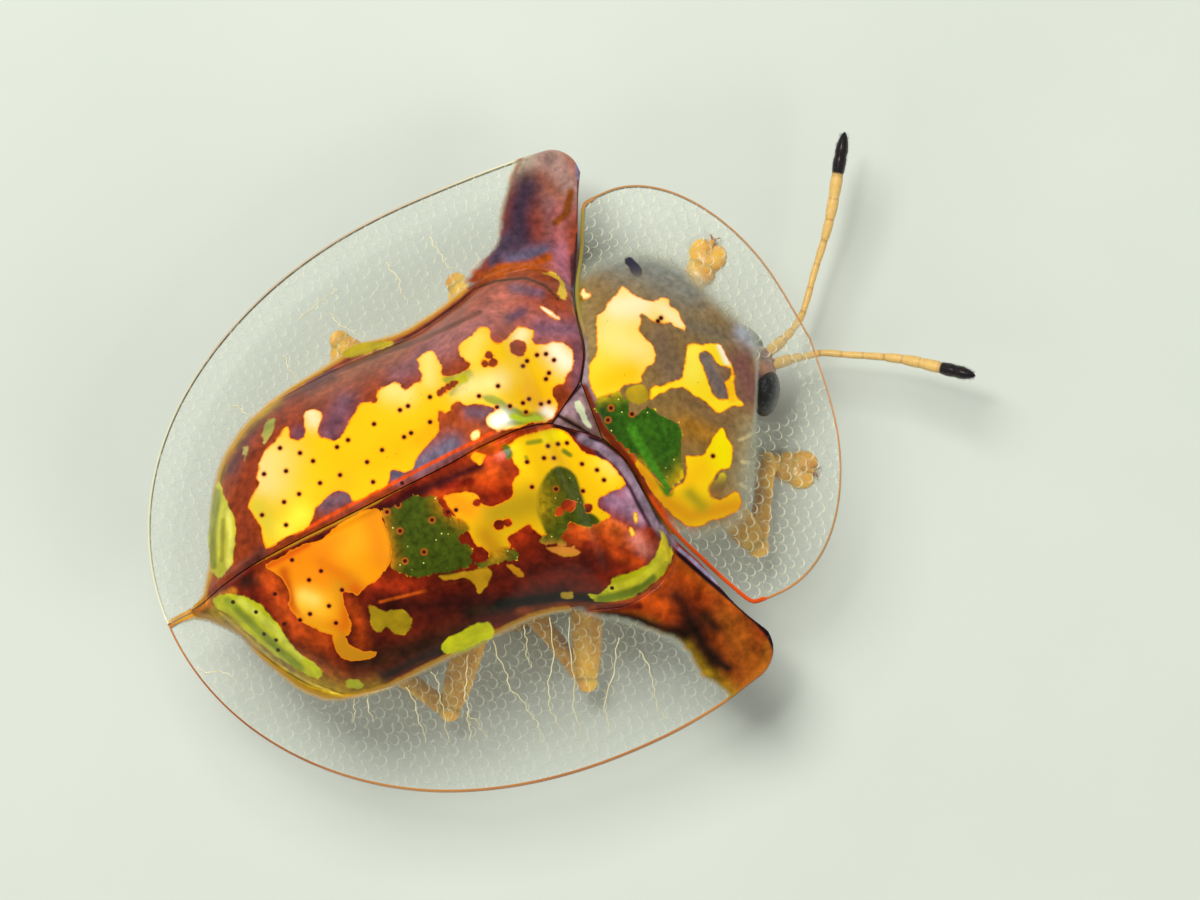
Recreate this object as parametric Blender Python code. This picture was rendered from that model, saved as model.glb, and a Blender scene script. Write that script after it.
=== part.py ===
"""A tortoise beetle (Aspidimorpha), 13 mm long, standing on its six feet.

Every place on the beetle is given in millimetres as (s, t, z): s runs forward from the rear tip of
the wing cases, t runs out toward the beetle's left, and z runs up from the floor. The head looks
toward -Y, and the beetle's left is +X.
"""

import math

import bmesh
import bpy
import numpy as np

MM = 0.001
GAP = 0.3  # the space between two neighbouring pieces
SHELL = 0.5  # thickness of the wing cases and of the neck shield
ORIGIN_S = 7.77  # the place along s that lies above the origin, midway from rear tip to feeler tip
LEFT_LEAD = 0.1  # how far the left shoulder stands ahead, and the right one behind
LEAD_AT_S = 9.3
LEAD_REACH = 1.6
LEAD_SWITCH = 1.5  # how far either side of the midline the lead changes over

# Wing cases
CASE_HALF_WIDTH = 5.63
CASE_WIDEST_S = 7.2
CASE_FRONT_S = 10.3
REAR_ROUNDNESS = 2.16  # the power of the outline's rear half, 2 for a true ellipse
RIM_TAPER = 0.037  # how fast the brim narrows ahead of its widest place
SHOULDER_RADIUS = 0.45
SCUTELLUM_TIP_S = 8.0
BASE_S = 8.72
BASE_IN_T = 0.8
BASE_REACH = 3.9  # how far out the front edge sweeps, beyond BASE_IN_T
BASE_SWEEP = 1.45  # the power of that sweep
KEEL_HEIGHT = [
    (0.0, 1.95), (0.7, 2.35), (1.3, 3.1), (2.0, 3.67), (2.9, 3.99), (3.9, 4.18), (4.9, 4.41),
    (6.0, 4.66), (6.6, 4.9), (7.3, 4.97), (7.7, 4.72), (8.05, 4.27), (8.7, 4.05), (10.4, 3.1),
]
DISC_HALF_WIDTH = [
    (0.5, 0.0), (1.0, 0.6), (1.5, 1.5), (2.0, 2.25), (2.7, 2.75), (3.6, 2.93), (5.0, 3.0),
    (6.2, 2.95), (7.2, 3.12), (8.0, 3.33), (8.6, 3.25), (9.0, 3.0), (9.25, 2.6), (9.5, 2.0),
    (10.4, 1.8),
]
DISC_ROUNDNESS, DISC_FLATNESS = 2.5, 0.85  # powers of the disc's cross section
REAR_TURN_S = 1.8  # where the rounded rear end has run out into the sides
NARROWEST_DISC, NARROWEST_BRIM = 0.3, 0.25  # shares of a wing case's width that each keeps at least
DISC_FOOT_HEIGHT = [(0.0, 1.95), (1.0, 2.15), (3.0, 2.5), (8.0, 2.6), (10.4, 2.6)]
RIM_HEIGHT = [(0.0, 1.95), (1.0, 1.75), (3.5, 1.42), (7.5, 1.4), (10.4, 1.9)]

# Neck shield
SHIELD_HALF_WIDTH = 4.14
SHIELD_WIDEST_S = 10.6
SHIELD_FRONT_S = 13.0
SHIELD_RIM = 1.95
SHIELD_TOP = 4.0
SHIELD_SWELL = 0.35  # how far the middle of the clear brim stands above its rim
SHIELD_DOME_LENGTH = 3.1
SHIELD_DOME_HALF_WIDTH = 3.4
SHIELD_DOME_POWER = 1.3
SHIELD_CORNER = 10.0  # how sharply the V of its base meets the half ellipse in front
SHIELD_NOSE = 40  # the power that closes its front end

# Body under the shells
UNDERSIDE = 1.25
FLANK = 1.9
BODY_CLEARANCE = 0.15  # kept free under the shells, besides the gap
REAR_END_S = 1.35
WAIST_S = 5.6  # where the abdomen meets the thorax
NECK_HALF_WIDTH = 2.3
NECK_WIDEST_S = 9.3
NECK_REACH = 2.0
NECK_FRONT_S = 10.75
THORAX_FRONT_S = 8.62
INSIDE_FOOT = 0.55  # how much narrower the body is than the disc
THINNEST = 0.2  # its least half width
ROOF_ROUNDNESS, ROOF_FLATNESS = 2.2, 1.2  # powers of its cross section above
BELLY_FLATNESS = 0.8  # and below
NECK_BLUNTNESS = 0.1  # how blunt the prothorax ends, 0 for a point

# Head, turned a little to the beetle's left
HEAD_T = 0.08
HEAD_PLACE = (11.55, HEAD_T, 1.3)
HEAD_SIZE = (0.6, 0.38, 0.5)
LIP_PLACE = (11.98, HEAD_T, 0.95)
LIP_SIZE = (0.22, 0.34, 0.2)
EYE_PLACE = (11.72, 0.87, 1.4)  # out from the head's middle
EYE_SIZE = (0.4, 0.2, 0.42)
PALP = [(11.85, 0.16, 0.85), (12.1, 0.28, 0.5)]
PALP_RADII = [0.14, 0.14, 0.12, 0.05]

# Scutellum: its corners' places, and how it falls away from its middle line
SCUTELLUM_S = (8.2, 8.58, 8.7)  # tip, side corners and base
SCUTELLUM_HALF_WIDTH = 0.46
SCUTELLUM_BASE = 0.7  # its base's share of that width
SCUTELLUM_HEIGHT, SCUTELLUM_FALL = 4.12, 0.1

# Legs: radii along the thigh, shin and foot, and the places of hip, knee, ankle and toe
THIGH = [0.18, 0.29, 0.31, 0.31, 0.28, 0.2]
SHIN = [0.2, 0.26, 0.25, 0.25, 0.26]
FOOT = [0.25, 0.3, 0.27, 0.33, 0.27, 0.34, 0.16]
FOOT_HEIGHT = 0.2
LEGS = {
    "leg_front_left": [(10.0, 0.5, 0.66), (10.52, 2.85, 0.8), (11.3, 2.1, 0.5), (12.0, 2.75)],
    "leg_front_right": [(10.0, -0.5, 0.66), (10.56, -3.0, 0.8), (11.38, -1.45, 0.5), (12.0, -2.0)],
    "leg_mid_left": [(8.1, 0.7, 0.66), (7.4, 3.95, 0.72), (6.75, 2.3, 0.4), (6.0, 1.9)],
    "leg_mid_right": [(8.1, -0.7, 0.66), (6.75, -3.95, 0.72), (6.25, -2.3, 0.4), (5.5, -1.9)],
    "leg_hind_left": [(6.4, 0.7, 0.66), (5.0, 3.85, 0.72), (4.2, 2.3, 0.4), (3.4, 1.9)],
    "leg_hind_right": [(6.4, -0.7, 0.66), (4.1, -3.4, 0.72), (3.4, -2.1, 0.4), (2.6, -1.8)],
}

# Feelers: eleven joints through a few places
FEELER_JOINTS = 11
FEELER_WAIST, FEELER_RADIUS = 0.15, 0.18
FEELER_POINT = 0.35  # the tip's share of that radius
FEELERS = {
    "antenna_left": [
        (12.42, 0.44, 1.05), (13.0, 0.68, 0.92), (13.62, 1.38, 0.95), (14.22, 2.08, 1.1),
        (14.77, 2.88, 1.25), (15.12, 3.4, 1.4),
    ],
    "antenna_right": [
        (12.42, -0.22, 1.05), (12.98, -0.12, 0.92), (13.56, -0.38, 0.95), (14.37, -0.86, 1.1),
        (15.03, -1.39, 1.25), (15.48, -1.78, 1.4),
    ],
}

# Fineness of the meshes
SLOPE_STEP = 0.15  # over how much of the shell a slope is measured
STEEPEST = 1.4  # the most that a slope thickens a shell's upright thickness
WELD = 0.02  # points closer than this become one
REAR_ROWS, SIDE_ROWS, SCUTELLUM_ROWS, SHOULDER_ROWS = 6, 13, 3, 8
DISC_COLUMNS, BRIM_COLUMNS = 9, 5
SHIELD_ROWS, SHIELD_COLUMNS = 10, 22
ABDOMEN_RINGS, THORAX_RINGS, NECK_RINGS = 12, 9, 8
AROUND_TRUNK = 28
SMOOTH_BELOW = 40  # degrees
FLOOR_BLOCK = 40


def through(points, x):
    """A smooth curve through a few (place, value) points, which never swings past them."""
    px, py = np.array(points, float).T
    steps = np.diff(px)
    slopes = np.diff(py) / steps
    same_way = slopes[:-1] * slopes[1:] > 0
    total = np.where(same_way, slopes[:-1] + slopes[1:], 1.0)
    tangents = np.zeros(len(px))
    tangents[1:-1] = np.where(same_way, 2 * slopes[:-1] * slopes[1:] / total, 0.0)
    tangents[0], tangents[-1] = slopes[0], slopes[-1]
    i = np.clip(np.searchsorted(px, x) - 1, 0, len(steps) - 1)
    u = np.clip((x - px[i]) / steps[i], 0, 1)
    start = (1 + 2 * u) * (1 - u) ** 2 * py[i] + u * (1 - u) ** 2 * steps[i] * tangents[i]
    end = u * u * (3 - 2 * u) * py[i + 1] + u * u * (u - 1) * steps[i] * tangents[i + 1]
    return start + end


def askew(s, t):
    """How far forward a place is pushed: most beside the shoulders, one way on each side."""
    return LEFT_LEAD * np.tanh(t / LEAD_SWITCH) * np.exp(-(((s - LEAD_AT_S) / LEAD_REACH) ** 2))


def world(s, t, z):
    """Metres in the model's frame for a place on the beetle."""
    s, t, z = np.broadcast_arrays(s, t, z)
    return np.stack([t, ORIGIN_S - s - askew(s, t), z], axis=-1) * MM


def rim_half_width(s):
    """The wing cases' outline: a half ellipse behind, nearly straight sides, round shoulders."""
    behind = np.clip((CASE_WIDEST_S - s) / CASE_WIDEST_S, 0, 1)
    ahead = np.clip(s - CASE_WIDEST_S, 0, None)
    corner = np.clip(s - (CASE_FRONT_S - SHOULDER_RADIUS), 0, SHOULDER_RADIUS)
    rounding = SHOULDER_RADIUS - np.sqrt(SHOULDER_RADIUS**2 - corner**2)
    return CASE_HALF_WIDTH * np.sqrt(1 - behind**REAR_ROUNDNESS) - RIM_TAPER * ahead**2 - rounding


def base_s(t):
    """The front edge of the wing cases, a shallow V that sweeps forward to the shoulders."""
    out = np.clip((np.abs(t) - BASE_IN_T) / BASE_REACH, 0, None)
    return BASE_S + (CASE_FRONT_S - BASE_S) * out**BASE_SWEEP


def inner_edge(s):
    """Where a wing case starts, out from the midline: the seam, the scutellum, then the base."""
    beside = np.clip((s - SCUTELLUM_TIP_S) / (BASE_S - SCUTELLUM_TIP_S), 0, 1)
    out = np.clip((s - BASE_S) / (CASE_FRONT_S - BASE_S), 0, 1) ** (1 / BASE_SWEEP)
    return GAP / 2 + (BASE_IN_T - GAP / 2) * beside + BASE_REACH * out


def case_height(s, t):
    """The top of the wing cases: a domed disc with a hump behind the scutellum, in a sloping brim."""
    foot, disc = through(DISC_FOOT_HEIGHT, s), through(DISC_HALF_WIDTH, s)
    width = rim_half_width(s)
    out = np.abs(t)
    across = np.clip((width - out) / np.maximum(width - disc, 0.1), 0, 1)
    brim = through(RIM_HEIGHT, s) + (foot - through(RIM_HEIGHT, s)) * across
    inside = np.clip(1 - (out / np.maximum(disc, 0.01)) ** DISC_ROUNDNESS, 0, 1)
    return brim + (through(KEEL_HEIGHT, s) - foot) * inside**DISC_FLATNESS


def shield_half_width(s):
    """The neck shield's outline: its V-shaped base behind, a half ellipse in front."""
    behind = np.clip((s - GAP - BASE_S) / (CASE_FRONT_S - BASE_S), 0, 1)
    base = BASE_IN_T + BASE_REACH * behind ** (1 / BASE_SWEEP)
    ahead = np.clip((s - SHIELD_WIDEST_S) / (SHIELD_FRONT_S - SHIELD_WIDEST_S), 0, 1)
    lobe = SHIELD_HALF_WIDTH * np.sqrt(1 - ahead**2)
    both = np.exp(-SHIELD_CORNER * base) + np.exp(-SHIELD_CORNER * lobe)
    return -np.log(both) / SHIELD_CORNER * (1 - ahead**SHIELD_NOSE)


def shield_height(s, t):
    """The top of the neck shield: a broad dome that carries on from the wing cases' base."""
    ahead = (s - base_s(t) - GAP) / SHIELD_DOME_LENGTH
    dome = np.clip(1 - ahead * np.abs(ahead) - (t / SHIELD_DOME_HALF_WIDTH) ** 2, 0, 1)
    front = (s - SHIELD_WIDEST_S) / (SHIELD_FRONT_S - SHIELD_WIDEST_S)
    toward_rim = np.clip(front, 0, 1) ** 2 + (t / SHIELD_HALF_WIDTH) ** 2
    brim = SHIELD_RIM + SHIELD_SWELL * np.clip(1 - toward_rim, 0, 1)
    return brim + (SHIELD_TOP - brim) * dome**SHIELD_DOME_POWER


def material(name, colour, roughness, metallic=0.0):
    made = bpy.data.materials.new(name)
    made.use_nodes = True
    shader = made.node_tree.nodes["Principled BSDF"]
    shader.inputs["Base Color"].default_value = (*colour, 1)
    shader.inputs["Roughness"].default_value = roughness
    shader.inputs["Metallic"].default_value = metallic
    made.diffuse_color = (*colour, 1)
    return made


def add(name, mesh, where, root):
    """A new object in a collection, under the empty that carries the beetle."""
    made = bpy.data.objects.new(name, mesh)
    where.objects.link(made)
    made.parent = root
    return made


def finish(obj, look):
    obj.data.materials.clear()
    obj.data.materials.append(look)
    obj.data.shade_smooth()
    obj.data.set_sharp_from_angle(angle=math.radians(SMOOTH_BELOW))


def plate(name, places, height, where, root):
    """A shell of even thickness under a height rule, over a grid of places (s, t)."""
    s, t = places
    slope_s = (height(s + SLOPE_STEP, t) - height(s - SLOPE_STEP, t)) / (2 * SLOPE_STEP)
    slope_t = (height(s, t + SLOPE_STEP) - height(s, t - SLOPE_STEP)) / (2 * SLOPE_STEP)
    steepness = np.minimum(np.sqrt(1 + slope_s**2 + slope_t**2), STEEPEST)
    top = world(s, t, height(s, t))
    under = world(s, t, height(s, t) - SHELL * steepness)
    rows, columns = s.shape
    number = np.arange(rows * columns).reshape(rows, columns)
    quads = np.stack([number[:-1, :-1], number[1:, :-1], number[1:, 1:], number[:-1, 1:]], -1)
    quads = quads.reshape(-1, 4)
    rim = np.concatenate([number[0], number[1:, -1], number[-1, -2::-1], number[-2:0:-1, 0]])
    after = np.roll(rim, -1)
    below = rows * columns
    wall = np.stack([rim, after, after + below, rim + below], -1)
    faces = np.concatenate([quads, quads[:, ::-1] + below, wall])
    mesh = bpy.data.meshes.new(name)
    mesh.from_pydata(np.concatenate([top.reshape(-1, 3), under.reshape(-1, 3)]), [], faces)
    made = bmesh.new()
    made.from_mesh(mesh)
    bmesh.ops.remove_doubles(made, verts=made.verts, dist=WELD * MM)
    bmesh.ops.triangulate(made, faces=made.faces, quad_method="FIXED")
    bmesh.ops.recalc_face_normals(made, faces=made.faces)
    made.to_mesh(mesh)
    made.free()
    return add(name, mesh, where, root)


def wing_case(name, side, where, root):
    rear = 1 - np.cos(np.linspace(0, 0.5 * math.pi, REAR_ROWS + 1))
    shoulder = np.sin(np.linspace(0, 0.5 * math.pi, SHOULDER_ROWS + 1))
    s = np.concatenate([
        rear * REAR_TURN_S,
        np.linspace(REAR_TURN_S, SCUTELLUM_TIP_S, SIDE_ROWS + 1)[1:],
        np.linspace(SCUTELLUM_TIP_S, BASE_S, SCUTELLUM_ROWS + 1)[1:],
        BASE_S + (CASE_FRONT_S - BASE_S) * shoulder[1:],
    ])
    outer = rim_half_width(s)
    inner = np.minimum(inner_edge(s), outer)
    width = outer - inner
    foot = through(DISC_HALF_WIDTH, s)
    foot = np.clip(foot, inner + NARROWEST_DISC * width, outer - NARROWEST_BRIM * width)
    over_disc = inner + (foot - inner) * np.linspace(0, 1, DISC_COLUMNS + 1)[:, None]
    over_brim = foot + (outer - foot) * np.linspace(0, 1, BRIM_COLUMNS + 1)[1:, None]
    t = np.concatenate([over_disc, over_brim]).T
    s = np.repeat(s[:, None], t.shape[1], axis=1)
    return plate(name, (s, side * t), case_height, where, root)


def neck_shield(name, where, root):
    front = np.sin(np.linspace(0, 0.5 * math.pi, SHIELD_ROWS + 1))
    s = np.concatenate([
        np.linspace(BASE_S + GAP, SHIELD_WIDEST_S, SHIELD_ROWS + 1),
        SHIELD_WIDEST_S + (SHIELD_FRONT_S - SHIELD_WIDEST_S) * front[1:],
    ])
    t = shield_half_width(s)[:, None] * np.linspace(-1, 1, SHIELD_COLUMNS + 1)
    s = np.repeat(s[:, None], t.shape[1], axis=1)
    return plate(name, (s, t), shield_height, where, root)


def loft(name, rings):
    """A closed solid through rings of equal length, with its two ends drawn in to points."""
    rows, around = rings.shape[:2]
    mesh = bmesh.new()
    verts = [[mesh.verts.new(p) for p in ring] for ring in rings]
    for row in range(rows - 1):
        for i in range(around):
            j = (i + 1) % around
            mesh.faces.new([verts[row][i], verts[row][j], verts[row + 1][j], verts[row + 1][i]])
    for ring in (verts[0], verts[-1]):
        mesh.faces.new(ring)
    bmesh.ops.triangulate(mesh, faces=mesh.faces)
    bmesh.ops.recalc_face_normals(mesh, faces=mesh.faces)
    made = bpy.data.meshes.new(name)
    mesh.to_mesh(made)
    mesh.free()
    return made


def trunk(name, stations, half_width, top, where, root):
    """A length of the body: rounded below, roof-shaped above so that it fits under its shell."""
    turn = np.linspace(0, 2 * math.pi, AROUND_TRUNK, endpoint=False)
    across, up = np.cos(turn), np.sin(turn)
    s = stations[:, None]
    roof = np.clip(1 - np.abs(across) ** ROOF_ROUNDNESS, 0, 1) ** ROOF_FLATNESS
    above = FLANK + (top(s) - FLANK) * roof
    below = FLANK - (FLANK - UNDERSIDE) * np.abs(up) ** BELLY_FLATNESS
    rings = world(s, half_width(s) * across, np.where(up >= 0, above, below))
    return add(name, loft(name, rings), where, root)


def tube(name, path, radii, where, root):
    """A limb piece along a path, as a mesh with closed ends."""
    curve = bpy.data.curves.new(name, "CURVE")
    curve.dimensions = "3D"
    curve.bevel_depth = MM
    curve.bevel_resolution = 2
    curve.use_fill_caps = True
    spline = curve.splines.new("POLY")
    spline.points.add(len(path) - 1)
    for point, place, radius in zip(spline.points, path, radii):
        point.co = (*world(*place), 1)
        point.radius = radius
    guide = bpy.data.objects.new(name, curve)
    where.objects.link(guide)
    bpy.context.view_layer.update()
    mesh = bpy.data.meshes.new_from_object(guide.evaluated_get(bpy.context.evaluated_depsgraph_get()))
    bpy.data.objects.remove(guide)
    made = bmesh.new()
    made.from_mesh(mesh)
    bmesh.ops.remove_doubles(made, verts=made.verts, dist=0.001 * MM)
    bmesh.ops.recalc_face_normals(made, faces=made.faces)
    made.to_mesh(mesh)
    made.free()
    return add(name, mesh, where, root)


def between(start, end, count):
    return [tuple(np.array(start) + (np.array(end) - start) * f) for f in np.linspace(0, 1, count)]


def ball(name, centre, radii, where, root):
    bm = bmesh.new()
    bmesh.ops.create_uvsphere(bm, u_segments=16, v_segments=10, radius=1)
    for vert in bm.verts:
        x, y, z = vert.co
        vert.co = world(centre[0] + radii[0] * x, centre[1] + radii[1] * y, centre[2] + radii[2] * z)
    bmesh.ops.recalc_face_normals(bm, faces=bm.faces)
    mesh = bpy.data.meshes.new(name)
    bm.to_mesh(mesh)
    bm.free()
    return add(name, mesh, where, root)


def apply_boolean(target, operation, other):
    cut = target.modifiers.new(operation.lower(), "BOOLEAN")
    cut.operation = operation
    if isinstance(other, bpy.types.Collection):
        cut.operand_type = "COLLECTION"
        cut.collection = other
    else:
        cut.object = other
    bpy.context.view_layer.update()
    result = target.evaluated_get(bpy.context.evaluated_depsgraph_get())
    mesh = bpy.data.meshes.new_from_object(result)
    target.modifiers.remove(cut)
    target.data = mesh


def join(first, others):
    """Fuses pieces into one closed body and removes the pieces."""
    bundle = bpy.data.collections.new("bundle")
    bpy.context.scene.collection.children.link(bundle)
    for piece in others:
        for holder in piece.users_collection:
            holder.objects.unlink(piece)
        bundle.objects.link(piece)
    apply_boolean(first, "UNION", bundle)
    for piece in others:
        bpy.data.objects.remove(piece)
    bpy.data.collections.remove(bundle)
    return first


def leg(name, hip, knee, ankle, toe, floor, where, root):
    """Hip, thigh, shin and a lobed foot, cut flat where it stands on the floor."""
    thigh = tube(name, between(hip, knee, len(THIGH)), THIGH, where, root)
    shin = tube("shin", between(knee, ankle, len(SHIN)), SHIN, where, root)
    foot = tube("foot", between(ankle, (*toe, FOOT_HEIGHT), len(FOOT)), FOOT, where, root)
    whole = join(thigh, [shin, foot])
    apply_boolean(whole, "DIFFERENCE", floor)
    return whole


def antenna(name, places, where, root):
    """A feeler drawn through a few places, slightly waisted between its joints."""
    along = np.linspace(0, 1, 2 * FEELER_JOINTS + 1)
    knots = np.linspace(0, 1, len(places))
    path = np.stack([through(list(zip(knots, column)), along) for column in np.transpose(places)], 1)
    radii = np.where(np.arange(len(along)) % 2 == 0, FEELER_WAIST, FEELER_RADIUS)
    taper = np.clip((1 - along) * FEELER_JOINTS, FEELER_POINT, 1)
    return tube(name, [tuple(p) for p in path], radii * taper, where, root)


def head(name, where, root):
    """The small head that hangs under the neck shield, with its lip and two pairs of palps."""
    skull = ball(name, HEAD_PLACE, HEAD_SIZE, where, root)
    pieces = [ball("lip", LIP_PLACE, LIP_SIZE, where, root)]
    for side in (-1, 1):
        start, end = [(s, HEAD_T + side * t, z) for s, t, z in PALP]
        palp = between(start, end, len(PALP_RADII))
        pieces.append(tube("palp", palp, PALP_RADII, where, root))
    return join(skull, pieces)


def scutellum(name, where, root):
    """The small triangle between the bases of the wing cases."""
    tip, corner, base = SCUTELLUM_S
    half, inner = SCUTELLUM_HALF_WIDTH, SCUTELLUM_BASE * SCUTELLUM_HALF_WIDTH
    corners = [(tip, 0.0), (corner, half), (base, inner), (base, -inner), (corner, -half)]
    bm = bmesh.new()
    top = [bm.verts.new(world(s, t, SCUTELLUM_HEIGHT - SCUTELLUM_FALL * abs(t))) for s, t in corners]
    face = bm.faces.new(top)
    lower = bmesh.ops.extrude_face_region(bm, geom=[face])["geom"]
    lower = [vert for vert in lower if isinstance(vert, bmesh.types.BMVert)]
    bmesh.ops.translate(bm, vec=(0, 0, -SHELL * MM), verts=lower)
    bmesh.ops.recalc_face_normals(bm, faces=bm.faces)
    mesh = bpy.data.meshes.new(name)
    bm.to_mesh(mesh)
    bm.free()
    return add(name, mesh, where, root)


def floor_cutter(where):
    bm = bmesh.new()
    bmesh.ops.create_cube(bm, size=FLOOR_BLOCK * MM)
    bmesh.ops.translate(bm, vec=(0, 0, -FLOOR_BLOCK / 2 * MM), verts=bm.verts)
    mesh = bpy.data.meshes.new("floor_cutter")
    bm.to_mesh(mesh)
    bm.free()
    cutter = bpy.data.objects.new("floor_cutter", mesh)
    where.objects.link(cutter)
    cutter.hide_render = True
    cutter.display_type = "WIRE"
    return cutter


def build():
    for old in list(bpy.data.objects):
        bpy.data.objects.remove(old)
    beetle = bpy.data.collections.new("tortoise_beetle")
    cutters = bpy.data.collections.new("cutters")
    bpy.context.scene.collection.children.link(beetle)
    bpy.context.scene.collection.children.link(cutters)
    root = bpy.data.objects.new("root", None)
    beetle.objects.link(root)
    floor = floor_cutter(cutters)

    case = material("wing_case", (0.42, 0.09, 0.01), 0.15)
    shield = material("neck_shield", (0.5, 0.3, 0.04), 0.15)
    belly = material("belly", (0.45, 0.26, 0.07), 0.4)
    limb = material("limb", (0.62, 0.38, 0.13), 0.4)
    black = material("eye", (0.01, 0.01, 0.012), 0.12)

    for word, side in (("left", 1), ("right", -1)):
        finish(wing_case(f"elytron_{word}", side, beetle, root), case)
    finish(neck_shield("pronotum", beetle, root), shield)
    finish(scutellum("scutellum", beetle, root), shield)

    def under_cases(s):
        return through(KEEL_HEIGHT, s) - SHELL - GAP - BODY_CLEARANCE

    def under_shield(s):
        return shield_height(s, 0.0) - SHELL - GAP - BODY_CLEARANCE

    def disc_width(s):
        return np.maximum(through(DISC_HALF_WIDTH, s) - INSIDE_FOOT, THINNEST)

    back = np.linspace(REAR_END_S, WAIST_S - GAP / 2, ABDOMEN_RINGS)
    finish(trunk("abdomen", back, disc_width, under_cases, beetle, root), belly)
    chest = np.linspace(WAIST_S + GAP / 2, THORAX_FRONT_S, THORAX_RINGS)
    finish(trunk("thorax", chest, disc_width, under_cases, beetle, root), belly)

    def neck_width(s):
        lobe = 1 - ((s - NECK_WIDEST_S) / NECK_REACH) ** 2
        return NECK_HALF_WIDTH * np.sqrt(np.clip(lobe, NECK_BLUNTNESS, 1))

    neck = np.linspace(THORAX_FRONT_S + GAP, NECK_FRONT_S, NECK_RINGS)
    finish(trunk("prothorax", neck, neck_width, under_shield, beetle, root), belly)

    finish(head("head", beetle, root), belly)
    for word, side in (("left", 1), ("right", -1)):
        place = (EYE_PLACE[0], HEAD_T + side * EYE_PLACE[1], EYE_PLACE[2])
        finish(ball(f"eye_{word}", place, EYE_SIZE, beetle, root), black)

    for name, places in FEELERS.items():
        finish(antenna(name, places, beetle, root), limb)
    for name, places in LEGS.items():
        finish(leg(name, *places, floor, beetle, root), limb)


build()
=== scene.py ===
# %% [markdown]
# # A tortoise beetle, built surface by surface
# The beetle is 13 mm long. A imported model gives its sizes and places, and this lesson puts the fine
# surfaces over it: wing cases and neck shield that are clear at the edge and gold in the middle, a head
# with faceted eyes, feelers, legs and the underside. Each piece is a formula on a grid of points.

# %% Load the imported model
import math

import bmesh
import bpy
import numpy as np
from mathutils import Matrix, Vector

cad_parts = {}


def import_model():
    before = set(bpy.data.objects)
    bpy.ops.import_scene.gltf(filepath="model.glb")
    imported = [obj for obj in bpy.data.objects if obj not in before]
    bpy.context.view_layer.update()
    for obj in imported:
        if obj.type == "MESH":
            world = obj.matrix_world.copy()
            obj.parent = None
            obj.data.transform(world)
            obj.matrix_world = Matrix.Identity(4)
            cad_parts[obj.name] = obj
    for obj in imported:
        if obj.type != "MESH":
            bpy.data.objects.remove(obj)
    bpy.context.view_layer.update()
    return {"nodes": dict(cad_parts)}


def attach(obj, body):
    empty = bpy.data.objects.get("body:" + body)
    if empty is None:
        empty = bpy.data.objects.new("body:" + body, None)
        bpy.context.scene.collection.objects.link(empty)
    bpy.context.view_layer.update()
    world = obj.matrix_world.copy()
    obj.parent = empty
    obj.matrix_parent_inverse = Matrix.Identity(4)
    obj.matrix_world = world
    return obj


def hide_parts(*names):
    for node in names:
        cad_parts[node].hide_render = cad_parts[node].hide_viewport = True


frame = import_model()
print("packed nodes:", len(frame["nodes"]))

# %% [markdown]
# ## Places on the beetle
# A place is (s, t, z) in millimetres: s runs forward from the rear tip, t out to the beetle's left and z
# up from the floor. One function turns places into metres. The beetle stands a little askew, its left
# shoulder ahead of its right, so the same function pushes the two sides apart along s.

# %% Millimetres on the beetle to metres in the scene
MM = 0.001
ORIGIN_S = 7.77  # the place along s that lies above the origin
LEFT_LEAD = 0.1  # how far the left shoulder stands ahead, and the right one behind
LEAD_AT_S, LEAD_REACH = 9.3, 1.6
LEAD_FROM_T = 1.5  # out to there the push grows from nothing at the midline


def askew(s, t):
    """How far forward a place is pushed: most beside the shoulders, one way on each side."""
    return LEFT_LEAD * np.tanh(t / LEAD_FROM_T) * np.exp(-(((s - LEAD_AT_S) / LEAD_REACH) ** 2))


def world(s, t, z):
    """X is t, Y runs backward from the origin, Z is z, all in metres."""
    s, t, z = np.broadcast_arrays(s, t, z)
    return np.stack([t, ORIGIN_S - s - askew(s, t), z], axis=-1) * MM


# %% [markdown]
# ## The camera
# The photograph looks down on the beetle's back, a little from its right, with the head toward the lower
# right. Its frame is fixed by three facts: the body's turn in the picture, its lean toward the camera,
# and how many pixels cover a millimetre. A long lens keeps the perspective as flat as in a close-up.

# %% Camera at the photograph's angle
PHOTO_WIDTH, PHOTO_HEIGHT = 1200, 900
PIXELS_PER_MM = 54.2
REAR_TIP_PIXEL = (167, 624)
BODY_TURN = math.radians(24.0)
BODY_LEAN = math.radians(12.5)
AIM_HEIGHT = 2.05
LENS, SENSOR = 300.0, 36.0

forward = np.array([0.0, -1.0, 0.0])
leftward = np.array([math.cos(BODY_LEAN), 0.0, math.sin(BODY_LEAN)])
toward_camera = np.cross(forward, leftward)
picture_right = math.cos(BODY_TURN) * forward - math.sin(BODY_TURN) * leftward
picture_up = math.sin(BODY_TURN) * forward + math.cos(BODY_TURN) * leftward


def picture_to_body(pixels):
    """Pixels of the photograph to millimetres along the body and out to its left, as they appear."""
    off = (np.asarray(pixels, float) - REAR_TIP_PIXEL) / PIXELS_PER_MM
    along = off[..., 0] * math.cos(BODY_TURN) - off[..., 1] * math.sin(BODY_TURN)
    out = -off[..., 0] * math.sin(BODY_TURN) - off[..., 1] * math.cos(BODY_TURN)
    return along, out


aim_s, aim_out = picture_to_body((PHOTO_WIDTH / 2, PHOTO_HEIGHT / 2))
aim = np.array([aim_out / math.cos(BODY_LEAN), ORIGIN_S - aim_s, AIM_HEIGHT]) * MM
focal_pixels = PHOTO_WIDTH * LENS / SENSOR
camera_distance = focal_pixels / PIXELS_PER_MM * MM
camera_place = aim + toward_camera * camera_distance


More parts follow.
